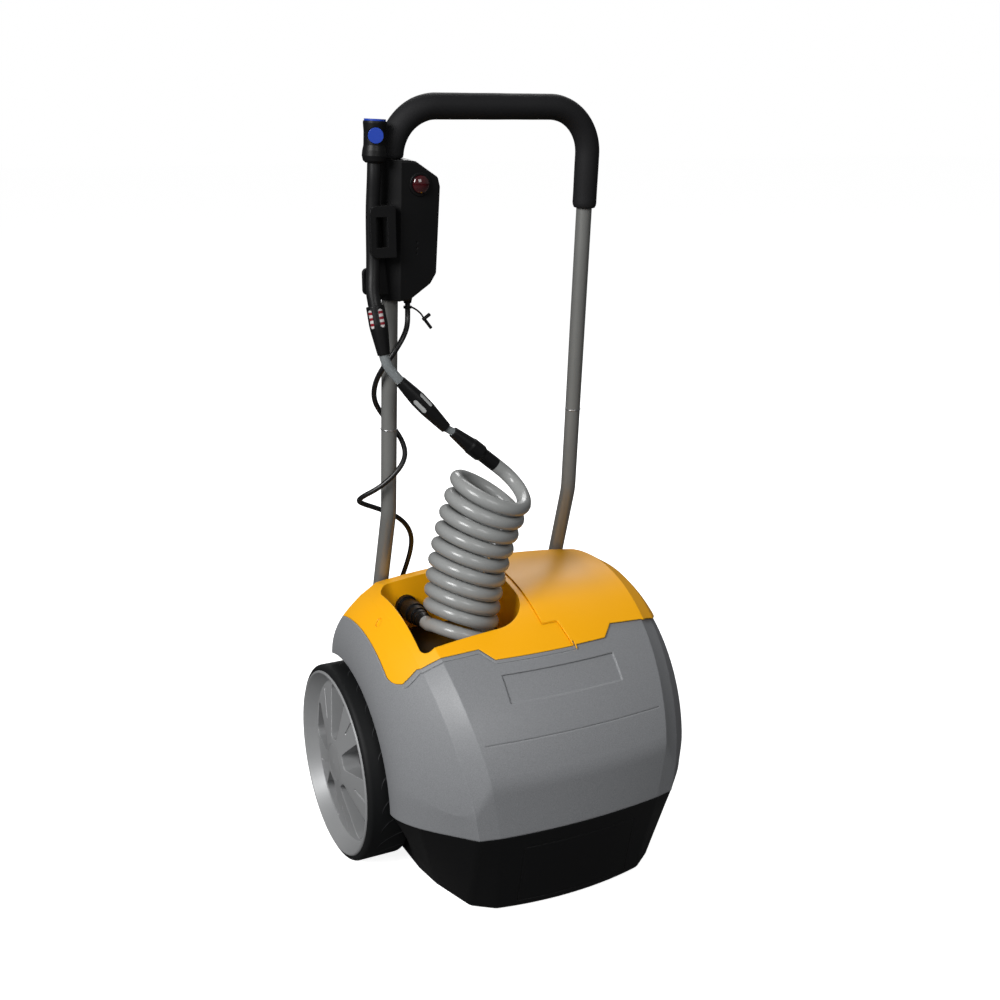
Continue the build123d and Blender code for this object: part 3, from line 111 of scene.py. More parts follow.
# %% Coil hose
COIL_TUBE = 0.0178
COIL_RADIUS = 42.5
COIL_PITCH = 20.4
COIL_STEPS = 16
COIL_FIRST_TURN = -1.0
COIL_LAST_TURN = 8.4
COIL_LOOSE = 7.0
COIL_FOOT = (-77.6, -76.0, 339.4)
COIL_BOW = 0.00106
COIL_FORWARD = -0.158
COIL_SPAN = 160.0
COIL_TILT = 25.6
COIL_TILT_GAIN = -1.3
COIL_NOSE_DOWN = -1.6
COIL_NOSE_GAIN = 11.0
COIL_NOSE_TOP = 6.7
CONTROL_WIDER = 1.013
OUTLET = in_frame(-116.8, -54.0, 328.0)
OUTLET_LEAD = 0.012
CONNECTOR_FOOT = in_frame(-25.6, -69.6, 529.5)
COIL_TAIL = [
    (-9.4, -118.3, 490.0),
    (-5.4, -109.4, 492.6),
    (-3.1, -100.3, 496.2),
    (-2.5, -91.3, 500.6),
    (-3.8, -83.2, 505.7),
    (-7.3, -76.7, 511.7),
    (-12.8, -72.4, 518.1),
    (-19.5, -70.5, 524.3),
]


def coil_point(turn):
    """Control point of the coil after that many turns from its foot."""
    rise = COIL_PITCH * turn - COIL_LOOSE * min(turn, 0.0) ** 2
    share = rise / COIL_SPAN
    tilt = math.radians(COIL_TILT + COIL_TILT_GAIN * share)
    nose = math.radians(COIL_NOSE_DOWN + COIL_NOSE_GAIN * share + COIL_NOSE_TOP * share ** 4)
    angle = 2 * math.pi * turn
    across = Vector((math.cos(tilt), 0, -math.sin(tilt))) * math.cos(angle)
    back = Vector((0, math.cos(nose), math.sin(nose))) * math.sin(angle)
    foot_x, foot_y, foot_z = COIL_FOOT
    centre = Vector((foot_x + COIL_BOW * rise ** 2, foot_y + COIL_FORWARD * rise, foot_z + rise))
    return in_frame(*(centre - (across + back) * COIL_RADIUS * CONTROL_WIDER))


coil_turns = COIL_LAST_TURN - COIL_FIRST_TURN
coil_steps = int(coil_turns * COIL_STEPS)
coil_route = [OUTLET, OUTLET + Vector((0, -OUTLET_LEAD, 0))]
for step in range(coil_steps + 1):
    coil_route.append(coil_point(COIL_FIRST_TURN + coil_turns * step / coil_steps))
coil_route += [in_frame(*place) for place in COIL_TAIL]
coil_route.append(CONNECTOR_FOOT)
coil_hose = hose_curve("coil_hose_line", coil_route, COIL_TUBE)
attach(coil_hose, "machine")
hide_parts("coil_hose")
print("coil hose control points:", len(coil_route))

# %% [markdown]
# The control cable leaves the box on the handle, winds loosely round the left tube and drops into the
# rear cover. It is the same kind of curve, only thinner, on the points of the CAD route.

# %% Control cable
CABLE_DIAMETER = 0.0066
CABLE_ROUTE = [
    (-110.0, 1.5, 728.0),
    (-110.0, 1.5, 713.0),
    (-113.5, -4.5, 699.5),
    (-123.5, -12.5, 686.0),
    (-138.0, -13.5, 667.0),
    (-150.5, -6.0, 648.0),
    (-154.0, 8.0, 628.0),
    (-150.0, 22.5, 607.0),
    (-138.0, 31.0, 587.0),
    (-122.0, 31.0, 568.0),
    (-112.5, 22.0, 550.0),
    (-114.0, 7.0, 535.0),
    (-125.0, -1.0, 521.0),
    (-141.5, 1.0, 505.0),
    (-157.0, 7.5, 493.0),
    (-170.0, 17.5, 484.0),
    (-173.0, 29.5, 475.0),
    (-162.0, 38.5, 467.0),
    (-143.0, 43.0, 458.0),
    (-119.0, 44.5, 446.0),
    (-100.0, 48.0, 430.0),
    (-89.5, 53.0, 410.0),
    (-88.5, 59.0, 388.0),
    (-94.0, 64.0, 364.0),
    (-100.0, 68.0, 344.0),
    (-101.0, 68.5, 330.0),
    (-101.0, 68.5, 317.0),
]
cable_points = [in_frame(*place) for place in CABLE_ROUTE]
control_cable = hose_curve("control_cable_line", cable_points, CABLE_DIAMETER)
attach(control_cable, "machine")
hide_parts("control_cable")
print("control cable points:", len(cable_points))


# %% [markdown]
# The grip is a foam sleeve pushed over the bent tube. A plain solid would look hard, so it is laid here
# as a thick curve: each point has its own radius, so the ends are rounded in, and the surface wanders by
# about a tenth of a millimetre, as soft foam does.

# %% Foam grip
GRIP_RADIUS = 0.0154
GRIP_BEND = 0.057
GRIP_STEP = 0.003
GRIP_END = 0.006
GRIP_END_DEPTH = 0.12
GRIP_WANDER = 0.006
GRIP_WAVE_SHORT = 0.31
GRIP_WAVE_LONG = 0.083
STEPS_THICK = 8
TUBE_X = 133.6
GRIP_CORNERS = [
    (-TUBE_X, -12.23, 901.3),
    (-TUBE_X, -16.83, 959.5),
    (TUBE_X, -16.83, 959.5),
    (TUBE_X, -7.16, 837.0),
]


def evenly(start, end, step):
    """Points from start to end, without the start."""
    pieces = max(1, round((end - start).length / step))
    return [start.lerp(end, piece / pieces) for piece in range(1, pieces + 1)]


def rounded_line(corners, bend, step):
    """Points at about equal steps along straight runs joined by arcs of one radius."""
    points = [corners[0]]
    for before, corner, after in zip(corners, corners[1:], corners[2:]):
        way_in = (corner - before).normalized()
        way_out = (after - corner).normalized()
        turn = way_in.angle(way_out)
        reach = bend * math.tan(turn / 2)
        start = corner - way_in * reach
        inward = (way_out - way_in * way_in.dot(way_out)).normalized()
        points += evenly(points[-1], start, step)
        pieces = max(2, round(bend * turn / step))
        for piece in range(1, pieces + 1):
            angle = turn * piece / pieces
            points.append(start + way_in * bend * math.sin(angle) + inward * bend * (1 - math.cos(angle)))
    return points + evenly(points[-1], corners[-1], step)


def thick_line(name, points, radii, closed=False):
    """Round tube on a line of points, each with its own radius."""
    data = bpy.data.curves.new(name, "CURVE")
    data.dimensions = "3D"
    data.bevel_depth = 1.0
    data.bevel_resolution = STEPS_THICK
    data.use_fill_caps = True
    spline = data.splines.new("POLY")
    spline.points.add(len(points) - 1)
    for point, place, radius in zip(spline.points, points, radii):
        point.co = (*place, 1.0)
        point.radius = radius
    spline.use_cyclic_u = closed
    piece = bpy.data.objects.new(name, data)
    bpy.context.scene.collection.objects.link(piece)
    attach(piece, "machine")
    return piece


grip_line = rounded_line([in_frame(*corner) for corner in GRIP_CORNERS], GRIP_BEND, GRIP_STEP)
grip_radii = []
for index in range(len(grip_line)):
    from_end = min(index, len(grip_line) - 1 - index) * GRIP_STEP
    rounding = 1.0 - GRIP_END_DEPTH * max(0.0, 1.0 - from_end / GRIP_END) ** 2
    wander = GRIP_WANDER * math.sin(index * GRIP_WAVE_SHORT) * math.sin(index * GRIP_WAVE_LONG)
    grip_radii.append(GRIP_RADIUS * rounding * (1.0 + wander))
grip_sleeve = thick_line("grip_sleeve", grip_line, grip_radii)
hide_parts("foam_grip")
print("grip points:", len(grip_line))

# %% [markdown]
# A thin bright ring closes the joint between the lower and the upper tube on each side. It is the same
# kind of thick line, closed to a circle that stands square to the leaning tube.

# %% Joint rings
TUBE_LEAN = Vector((0, -9.0, 114.0)).normalized()
JOINT_Y = 14.0
JOINT_Z = 569.25
RING_RADIUS = 0.0101
RING_THICK = 0.0009
RING_POINTS = 48

level = Vector((1, 0, 0))
depth = TUBE_LEAN.cross(level)
angles = [2 * math.pi * point / RING_POINTS for point in range(RING_POINTS)]
joint_rings = []
for side, x in (("left", -TUBE_X), ("right", TUBE_X)):
    centre = in_frame(x, JOINT_Y, JOINT_Z)
    circle = [centre + (level * math.cos(angle) + depth * math.sin(angle)) * RING_RADIUS for angle in angles]
    ring = thick_line("joint_ring_" + side, circle, [RING_THICK] * RING_POINTS, closed=True)
    joint_rings.append(ring)
print("rings:", len(joint_rings))


# %% [markdown]
# Moulded plastic is never perfectly smooth: the tool is etched, so the part has a fine grain. It could
# be a bump image, but a noise on the object's own coordinates has no seams and keeps its real size.
# Because several plastics share it, the grain is one node group, and each material sets its own scale.

# %% Shared grain
FLOAT = "NodeSocketFloat"
VECTOR = "NodeSocketVector"
GRAIN_SCALE = 900.0
COARSE_SCALE = 0.35
COARSE_SHARE = 0.6
FINE_SHARE = 0.4
FLECK_GAIN = 2.4
FLECK_SHIFT = -0.7


def new_group(name, inputs, outputs):
    """Empty shader group with float inputs; gives the tree and its two end nodes."""
    tree = bpy.data.node_groups.new(name, "ShaderNodeTree")
    for label, value in inputs.items():
        socket = tree.interface.new_socket(label, in_out="INPUT", socket_type=FLOAT)
        socket.default_value = value
    for label, kind in outputs.items():
        tree.interface.new_socket(label, in_out="OUTPUT", socket_type=kind)
    return tree, tree.nodes.new("NodeGroupInput"), tree.nodes.new("NodeGroupOutput")


def maths(tree, operation, first, second=0.5, third=0.0, clamp=False):
    """One Math node; each operand is a number or an output socket. Gives its output."""
    node = tree.nodes.new("ShaderNodeMath")
    node.operation = operation
    node.use_clamp = clamp
    for socket, operand in zip(node.inputs, (first, second, third)):
        if isinstance(operand, (int, float)):
            socket.default_value = operand
        else:
            tree.links.new(operand, socket)
    return node.outputs[0]


def object_place(tree):
    """Place on the object in metres, the same in every view."""
    return tree.nodes.new("ShaderNodeTexCoord").outputs["Object"]


def noise(tree, scale, detail=2.0):
    """Noise value; the scale is a number per metre or an output socket."""
    node = tree.nodes.new("ShaderNodeTexNoise")
    node.inputs["Detail"].default_value = detail
    tree.links.new(object_place(tree), node.inputs["Vector"])
    if isinstance(scale, (int, float)):
        node.inputs["Scale"].default_value = scale
    else:
        tree.links.new(scale, node.inputs["Scale"])
    return node.outputs["Fac"]


grain_tree, grain_in, grain_out = new_group(
    "moulded_grain", {"Scale": GRAIN_SCALE}, {"Height": FLOAT, "Fleck": FLOAT}
)
fine = noise(grain_tree, grain_in.outputs["Scale"], detail=3.0)
coarse_scale = maths(grain_tree, "MULTIPLY", grain_in.outputs["Scale"], COARSE_SCALE)
coarse = noise(grain_tree, coarse_scale, detail=1.0)
fine_height = maths(grain_tree, "MULTIPLY", fine, FINE_SHARE)
height = maths(grain_tree, "MULTIPLY_ADD", coarse, COARSE_SHARE, fine_height)
grain_tree.links.new(height, grain_out.inputs["Height"])
fleck = maths(grain_tree, "MULTIPLY_ADD", fine, FLECK_GAIN, FLECK_SHIFT, clamp=True)
grain_tree.links.new(fleck, grain_out.inputs["Fleck"])
print("grain group nodes:", len(grain_tree.nodes))

# %% [markdown]
# Real edges are rounded and catch light. The CAD edges are sharp, so a bevel node bends the normals
# near each edge. Where the bent normal differs from the true one there is an edge, and that difference
# is a ready mask for a painted highlight, a lighter line of colour there. A second group gives the soft
# patches that handling leaves.

# %% Shared edges, painted edge highlight and handling
EDGE_RADIUS = 0.001
HIGHLIGHT_GAIN = 3.0
BEVEL_SAMPLES = 4
SMEAR_SCALE = 14.0
SMEAR_GAIN = 1.8
SMEAR_SHIFT = -0.4

edge_highlight_tree, edge_in, edge_out = new_group(
    "rounded_edge_highlight", {"Radius": EDGE_RADIUS}, {"Normal": VECTOR, "Highlight": FLOAT}
)
bevel = edge_highlight_tree.nodes.new("ShaderNodeBevel")
bevel.samples = BEVEL_SAMPLES
edge_highlight_tree.links.new(edge_in.outputs["Radius"], bevel.inputs["Radius"])
true_normal = edge_highlight_tree.nodes.new("ShaderNodeNewGeometry").outputs["Normal"]
agreement = edge_highlight_tree.nodes.new("ShaderNodeVectorMath")
agreement.operation = "DOT_PRODUCT"
edge_highlight_tree.links.new(bevel.outputs["Normal"], agreement.inputs[0])
edge_highlight_tree.links.new(true_normal, agreement.inputs[1])
off_flat = maths(edge_highlight_tree, "SUBTRACT", 1.0, agreement.outputs["Value"])
# Painted highlight: this mask lightens the colour along every edge.
highlight_mask = maths(edge_highlight_tree, "MULTIPLY", off_flat, HIGHLIGHT_GAIN, clamp=True)
edge_highlight_tree.links.new(highlight_mask, edge_out.inputs["Highlight"])
edge_highlight_tree.links.new(bevel.outputs["Normal"], edge_out.inputs["Normal"])

hand_tree, hand_in, hand_out = new_group("handling", {"Scale": SMEAR_SCALE}, {"Smear": FLOAT})
patches = noise(hand_tree, hand_in.outputs["Scale"], detail=5.0)
smear = maths(hand_tree, "MULTIPLY_ADD", patches, SMEAR_GAIN, SMEAR_SHIFT, clamp=True)
hand_tree.links.new(smear, hand_out.inputs["Smear"])
print("edge and handling group nodes:", len(edge_highlight_tree.nodes), len(hand_tree.nodes))


# %% [markdown]
# With the groups made, one function can build each plastic: its base colour shifts a little with the
# grain, edges get a painted highlight that makes their colour a touch lighter, handled areas are a touch
# shinier, and the grain lifts the surface by hundredths of a millimetre. Only values that vary go through
# nodes; constants stay on the shader.

# %% Plastic builder
GRAIN_DEPTH = 0.00003
SMEAR_SHINE = 0.12
MIX_FIRST = 6
MIX_SECOND = 7
MIX_RESULT = 2


def place_group(tree, group, **values):
    """One group node in a material, with its inputs set."""
    node = tree.nodes.new("ShaderNodeGroup")
    node.node_tree = group
    for label, value in values.items():
        node.inputs[label].default_value = value
    return node


def blend_colours(tree, share, first, second):
    """Colour that goes from first to second with a mask; each is a colour or a socket."""
    node = tree.nodes.new("ShaderNodeMix")
    node.data_type = "RGBA"
    tree.links.new(share, node.inputs["Factor"])
    for socket, colour in ((node.inputs[MIX_FIRST], first), (node.inputs[MIX_SECOND], second)):
        if isinstance(colour, tuple):
            socket.default_value = (*colour, 1.0)
        else:
            tree.links.new(colour, socket)
    return node.outputs[MIX_RESULT]


def lifted(tree, height, depth, normal):
    """Bump of that depth in metres on top of a normal."""
    node = tree.nodes.new("ShaderNodeBump")
    node.inputs["Strength"].default_value = 1.0
    node.inputs["Distance"].default_value = depth
    tree.links.new(height, node.inputs["Height"])
    tree.links.new(normal, node.inputs["Normal"])
    return node.outputs["Normal"]


def moulded(name, colour, fleck, highlight_colour, rough, grain=GRAIN_SCALE, depth=GRAIN_DEPTH, radius=EDGE_RADIUS,
            smear=SMEAR_SHINE, **fixed):
    """Moulded plastic or paint with grain, softened edges with a painted highlight, and handled patches."""
    material = bpy.data.materials.new(name)
    material.use_nodes = True
    tree = material.node_tree
    shader = tree.nodes["Principled BSDF"]
    grain_node = place_group(tree, grain_tree, Scale=grain)
    edge_node = place_group(tree, edge_highlight_tree, Radius=radius)
    hand_node = place_group(tree, hand_tree)
    base = blend_colours(tree, grain_node.outputs["Fleck"], colour, fleck)
    # Painted highlight: along edges the base colour turns to the lighter edge colour.
    base = blend_colours(tree, edge_node.outputs["Highlight"], base, highlight_colour)
    tree.links.new(base, shader.inputs["Base Color"])
    roughness = maths(tree, "MULTIPLY_ADD", hand_node.outputs["Smear"], -smear, rough + smear / 2)
    tree.links.new(roughness, shader.inputs["Roughness"])
    normal = lifted(tree, grain_node.outputs["Height"], depth, edge_node.outputs["Normal"])
    tree.links.new(normal, shader.inputs["Normal"])
    for label, value in fixed.items():
        shader.inputs[label.replace("_", " ")].default_value = value
    return material


def paint(material, *names):
    """Give CAD nodes a material."""
    for name in names:
        nodes[name].data.materials.clear()
        nodes[name].data.materials.append(material)


print("builder uses:", grain_tree.name, edge_highlight_tree.name, hand_tree.name)

# %% [markdown]
# The body is a mid grey plastic with a visible spark-eroded grain; the cover and lid are a warm yellow
# with a semi-gloss skin. The blacks reflect less than usual, or the lamps would turn them grey. All come
# from the same builder, so only colours and values differ.

# %% Body and cover plastics
DULL = 0.25
SOFT_SHINE = 0.3

# Each edge colour is a painted highlight: lighter than the part's own colour, laid along its edges.
grey_shell = moulded("grey_shell", colour=(0.268, 0.275, 0.286), fleck=(0.190, 0.195, 0.205),
                     highlight_colour=(0.37, 0.38, 0.395), rough=0.44, grain=1100.0, depth=0.00010, radius=0.0024)
paint(grey_shell, "body_shell")
yellow_cover = moulded("yellow_cover", colour=(1.0, 0.460, 0.004), fleck=(0.98, 0.44, 0.003),
                       highlight_colour=(1.0, 0.55, 0.02), rough=0.40, grain=1600.0, depth=0.000015, radius=0.0016,
                       Specular_IOR_Level=SOFT_SHINE)
paint(yellow_cover, "top_cover", "tank_lid")
black_satin = moulded("black_satin", colour=(0.0062, 0.0062, 0.0066), fleck=(0.004, 0.004, 0.0044),
                      highlight_colour=(0.016, 0.016, 0.017), rough=0.42, grain=1500.0, depth=0.00003, radius=0.0014,
                      Specular_IOR_Level=DULL)
paint(black_satin, "base_tray", "base_front_panel", "rear_cover", "well_tray", "filler_cap",
      "outlet_fitting", "cable_gland_body", "battery_pack", "pump_head")
box_black = moulded("box_black", colour=(0.0062, 0.0062, 0.0066), fleck=(0.004, 0.004, 0.0044),
                    highlight_colour=(0.020, 0.020, 0.022), rough=0.42, grain=2200.0, depth=0.00002, radius=0.0011,
                    Specular_IOR_Level=DULL)
paint(box_black, "control_box_front", "control_box_rear", "hose_holder", "button_bezel", "cable_gland_box",
      "coupling_body", "upper_joiner", "lower_joiner", "coil_connector", "port_plug")
print("plastics made:", grey_shell.name, yellow_cover.name, black_satin.name, box_black.name)

# %% [markdown]
# Tubes, rims and hub caps have silver paint: a fine metal flake under a satin coat. A small metallic
# share and a flake-sized grain are enough to tell it from plain plastic. Bare steel is fully metallic.

# %% Paints and metals
# Here too each edge colour is a painted highlight along the edges.
silver_tube = moulded("silver_tube", colour=(0.200, 0.202, 0.194), fleck=(0.245, 0.247, 0.239),
                      highlight_colour=(0.36, 0.36, 0.35), rough=0.38, grain=2600.0, depth=0.000008, radius=0.0005,
                      Metallic=0.35)
paint(silver_tube, "lower_tube_left", "lower_tube_right", "upper_handle")
silver_rim = moulded("silver_rim", colour=(0.31, 0.315, 0.32), fleck=(0.36, 0.365, 0.37),
                     highlight_colour=(0.50, 0.505, 0.51), rough=0.36, grain=2400.0, depth=0.00001, radius=0.0018,
                     Metallic=0.2)
paint(silver_rim, "rim_left", "rim_right", "hub_cap_left", "hub_cap_right")
bright_steel = moulded("bright_steel", colour=(0.55, 0.55, 0.56), fleck=(0.48, 0.48, 0.49),
                       highlight_colour=(0.7, 0.7, 0.71), rough=0.32, grain=3000.0, depth=0.00001, radius=0.0004,
                       Metallic=1.0)
paint(bright_steel, "axle", "axle_washers", "lid_hinge_pins", "case_screws", "handle_screws", "box_screws",
      "pump_bracket", "pump_motor", "motor_shaft", "release_spring")
for ring in joint_rings:
    ring.data.materials.append(bright_steel)
print("paints made:", silver_tube.name, silver_rim.name, bright_steel.name)


# %% [markdown]
# The grip is closed-cell foam: dull, with small pits where cut cells are open. A cell texture gives the
# pits, and its distance makes both the bump and a painted shade that darkens the pits.

# %% Foam
FOAM_CELLS = 1800.0
FOAM_DEPTH = 0.00006
FOAM_WALL_GAIN = 1.5
FOAM_EDGE = 0.003
FOAM_PATCHES = 20.0
FOAM_SHINE = 0.12
FOAM_ROUGH = 0.74


def foam_material(name, colour, pit_shade_colour):
    """Dull foam rubber with open cells, and painted shade in their pits."""
    material = bpy.data.materials.new(name)
    material.use_nodes = True
    tree = material.node_tree
    shader = tree.nodes["Principled BSDF"]
    cells = tree.nodes.new("ShaderNodeTexVoronoi")
    cells.inputs["Scale"].default_value = FOAM_CELLS
    tree.links.new(object_place(tree), cells.inputs["Vector"])
    cell_wall_and_shade = maths(tree, "MULTIPLY", cells.outputs["Distance"], FOAM_WALL_GAIN, clamp=True)
    edge_node = place_group(tree, edge_highlight_tree, Radius=FOAM_EDGE)
    hand_node = place_group(tree, hand_tree, Scale=FOAM_PATCHES)
    # Painted shade: the colour darkens towards the middle of each pit.
    tree.links.new(blend_colours(tree, cell_wall_and_shade, pit_shade_colour, colour), shader.inputs["Base Color"])
    roughness = maths(tree, "MULTIPLY_ADD", hand_node.outputs["Smear"], -FOAM_SHINE, FOAM_ROUGH)
    tree.links.new(roughness, shader.inputs["Roughness"])
    tree.links.new(lifted(tree, cell_wall_and_shade, FOAM_DEPTH, edge_node.outputs["Normal"]), shader.inputs["Normal"])
    shader.inputs["Specular IOR Level"].default_value = DULL
    return material


foam_black = foam_material("foam_black", colour=(0.011, 0.011, 0.012), pit_shade_colour=(0.005, 0.005, 0.006))
grip_sleeve.data.materials.append(foam_black)
paint(foam_black, "foam_grip", "foot_pads")
print("foam nodes:", len(foam_black.node_tree.nodes))

# %% [markdown]
# The tyre's tread carries thin raised arcs. Each starts square to the inner edge and sweeps round to run
# along the tread, like a quarter of an ellipse. Measuring the place as an angle round the axle and a
# distance across the tread turns that into one formula, repeated every few centimetres.

# %% Tread arcs
AXLE_Z = 0.130
TREAD_RADIUS = 0.1275
TREAD_ARCS = 25
TREAD_INNER_X = 0.169
TREAD_WIDTH = 0.060
ARC_SWEEP = 0.9
ARC_REACH = 0.72
ARC_END = 0.995
LINE_GAIN = 26.0
LINE_SHIFT = -12.0

tyre_rubber = bpy.data.materials.new("tyre_rubber")
tyre_rubber.use_nodes = True
tyre_tree = tyre_rubber.node_tree
tyre_axes = tyre_tree.nodes.new("ShaderNodeSeparateXYZ")
tyre_tree.links.new(object_place(tyre_tree), tyre_axes.inputs[0])
from_axle_y = maths(tyre_tree, "SUBTRACT", tyre_axes.outputs["Y"], AXLE_Y)
from_axle_z = maths(tyre_tree, "SUBTRACT", tyre_axes.outputs["Z"], AXLE_Z)
around = maths(tyre_tree, "ARCTAN2", from_axle_z, from_axle_y)
across = maths(tyre_tree, "SUBTRACT", maths(tyre_tree, "ABSOLUTE", tyre_axes.outputs["X"]), TREAD_INNER_X)
share = maths(tyre_tree, "DIVIDE", across, TREAD_WIDTH * ARC_REACH, clamp=True)
share_squared = maths(tyre_tree, "MULTIPLY", share, share)
rise = maths(tyre_tree, "SQRT", maths(tyre_tree, "SUBTRACT", 1.0, share_squared))
swept = maths(tyre_tree, "MULTIPLY", rise, ARC_SWEEP)
arc_phase = maths(tyre_tree, "MULTIPLY_ADD", around, TREAD_ARCS / (2 * math.pi), swept)
from_middle = maths(tyre_tree, "SUBTRACT", maths(tyre_tree, "FRACT", arc_phase), 0.5)
saw = maths(tyre_tree, "ABSOLUTE", from_middle)
line = maths(tyre_tree, "MULTIPLY_ADD", saw, LINE_GAIN, LINE_SHIFT, clamp=True)
y_squared = maths(tyre_tree, "MULTIPLY", from_axle_y, from_axle_y)
z_squared = maths(tyre_tree, "MULTIPLY", from_axle_z, from_axle_z)
radius_squared = maths(tyre_tree, "ADD", y_squared, z_squared)
on_tread = maths(tyre_tree, "GREATER_THAN", radius_squared, TREAD_RADIUS ** 2)
before_end = maths(tyre_tree, "LESS_THAN", share, ARC_END)
arc_line = maths(tyre_tree, "MULTIPLY", maths(tyre_tree, "MULTIPLY", line, on_tread), before_end)
print("tread arcs:", TREAD_ARCS)

# %% [markdown]
# The arc lines are a mask now. On them the rubber gets a painted highlight that makes it lighter, and it is
# smoother and raised by half a millimetre, as a bump: the arcs are far too thin to be worth real geometry.

# %% Tyre rubber
RUBBER = (0.0085, 0.009, 0.0095)
RUBBER_FLECK = (0.0055, 0.006, 0.0065)
RUBBER_LINE_HIGHLIGHT = (0.06, 0.062, 0.065)
RUBBER_ROUGH = 0.62
LINE_SHINE = 0.2
LINE_HEIGHT = 0.0005
RUBBER_GRAIN = 700.0
RUBBER_GRAIN_DEPTH = 0.00004
RUBBER_EDGE = 0.002

tyre_shader = tyre_tree.nodes["Principled BSDF"]
tyre_shader.inputs["Specular IOR Level"].default_value = DULL
tyre_edge = place_group(tyre_tree, edge_highlight_tree, Radius=RUBBER_EDGE)
tyre_grain = place_group(tyre_tree, grain_tree, Scale=RUBBER_GRAIN)
tyre_base = blend_colours(tyre_tree, tyre_grain.outputs["Fleck"], RUBBER, RUBBER_FLECK)
# Painted highlight: the arc lines are lighter in colour than the rubber.
tyre_base = blend_colours(tyre_tree, arc_line, tyre_base, RUBBER_LINE_HIGHLIGHT)
tyre_tree.links.new(tyre_base, tyre_shader.inputs["Base Color"])
tyre_roughness = maths(tyre_tree, "MULTIPLY_ADD", arc_line, -LINE_SHINE, RUBBER_ROUGH)
tyre_tree.links.new(tyre_roughness, tyre_shader.inputs["Roughness"])
grained = lifted(tyre_tree, tyre_grain.outputs["Height"], RUBBER_GRAIN_DEPTH, tyre_edge.outputs["Normal"])
tyre_tree.links.new(lifted(tyre_tree, arc_line, LINE_HEIGHT, grained), tyre_shader.inputs["Normal"])
paint(tyre_rubber, "tyre_left", "tyre_right")
print("tyre material nodes:", len(tyre_tree.nodes))

# %% [markdown]
# The coil is a smooth light grey tube with a soft shine, the cable and the wand hose are black. Blue
# marks what a hand should press. The dome over the start button is dark red and clear, so it gets
# transmission and a polished coat on the shader's own sockets.

# %% Hoses, buttons and clear pieces
# Here too each edge colour is a painted highlight along the edges.
coil_grey = moulded("coil_grey", colour=(0.300, 0.306, 0.302), fleck=(0.275, 0.281, 0.277),
                    highlight_colour=(0.32, 0.326, 0.322), rough=0.24, grain=500.0, depth=0.00002, radius=0.0004,
                    smear=0.08)
coil_hose.data.materials.append(coil_grey)
cable_black = moulded("cable_black", colour=(0.007, 0.007, 0.0075), fleck=(0.005, 0.005, 0.0055),
                      highlight_colour=(0.012, 0.012, 0.013), rough=0.36, grain=1800.0, depth=0.00001, radius=0.0003)
control_cable.data.materials.append(cable_black)
paint(cable_black, "wand_hose", "pressure_hose")
blue_button = moulded("blue_button", colour=(0.012, 0.055, 0.42), fleck=(0.010, 0.045, 0.36),
                      highlight_colour=(0.03, 0.10, 0.55), rough=0.38, grain=2000.0, depth=0.00001, radius=0.0008)
paint(blue_button, "release_button", "coupling_collar")
clear_tube = moulded("clear_tube", colour=(0.42, 0.45, 0.46), fleck=(0.36, 0.39, 0.40),
                     highlight_colour=(0.7, 0.72, 0.73), rough=0.12, grain=300.0, depth=0.00002, radius=0.0005,
                     smear=0.06, Transmission_Weight=0.55, IOR=1.42)
paint(clear_tube, "clear_hose", "clear_link", "suction_hose")
dome_red = moulded("dome_red", colour=(0.075, 0.006, 0.009), fleck=(0.04, 0.003, 0.005),
                   highlight_colour=(0.18, 0.02, 0.028), rough=0.12, grain=420.0, depth=0.00001, radius=0.001,
                   smear=0.05, Transmission_Weight=0.25, Coat_Weight=1.0)
paint(dome_red, "start_button")
print("hose and button materials:", coil_grey.name, cable_black.name, blue_button.name, clear_tube.name,
      dome_red.name)

# %% [markdown]
# A few small pieces are left: the plain panes of the lower joiner, the white nylon parts and the green
# circuit board. They need nothing that the builder doesn't give.

# %% Small pieces
# Here too each edge colour is a painted highlight along the edges.
pane_silver = moulded("pane_silver", colour=(0.46, 0.47, 0.47), fleck=(0.38, 0.39, 0.39),
                      highlight_colour=(0.6, 0.6, 0.6), rough=0.30, grain=1400.0, depth=0.00003, radius=0.0004)
paint(pane_silver, "lower_joiner_windows")
nylon_white = moulded("nylon_white", colour=(0.66, 0.65, 0.61), fleck=(0.6, 0.59, 0.55),
                      highlight_colour=(0.72, 0.71, 0.68), rough=0.48, grain=1200.0, depth=0.00002, radius=0.0006)
paint(nylon_white, "wheel_bush_left", "wheel_bush_right", "strainer_basket", "water_tank")
board_green = moulded("board_green", colour=(0.015, 0.10, 0.04), fleck=(0.010, 0.07, 0.03),
                      highlight_colour=(0.03, 0.14, 0.06), rough=0.42)
paint(board_green, "control_board")
print("small pieces' materials:", pane_silver.name, nylon_white.name, board_green.name)

# %% [markdown]
# The upper joiner's two panes show red and white bands. A wave along the joiner gives the bands without
# an image; its line runs from the joiner's foot to its head.

# %% Banded panes
BANDS_PER_METRE = 150.0
BAND_GAIN = 9.0
BAND_SHIFT = -1.8
BAND_WHITE = (0.60, 0.58, 0.57)
BAND_RED = (0.30, 0.02, 0.03)
BAND_RED_DARK = (0.18, 0.01, 0.02)
BAND_SPECK = 900.0
BAND_ROUGH = 0.22
BAND_ROUGH_SPREAD = 0.1

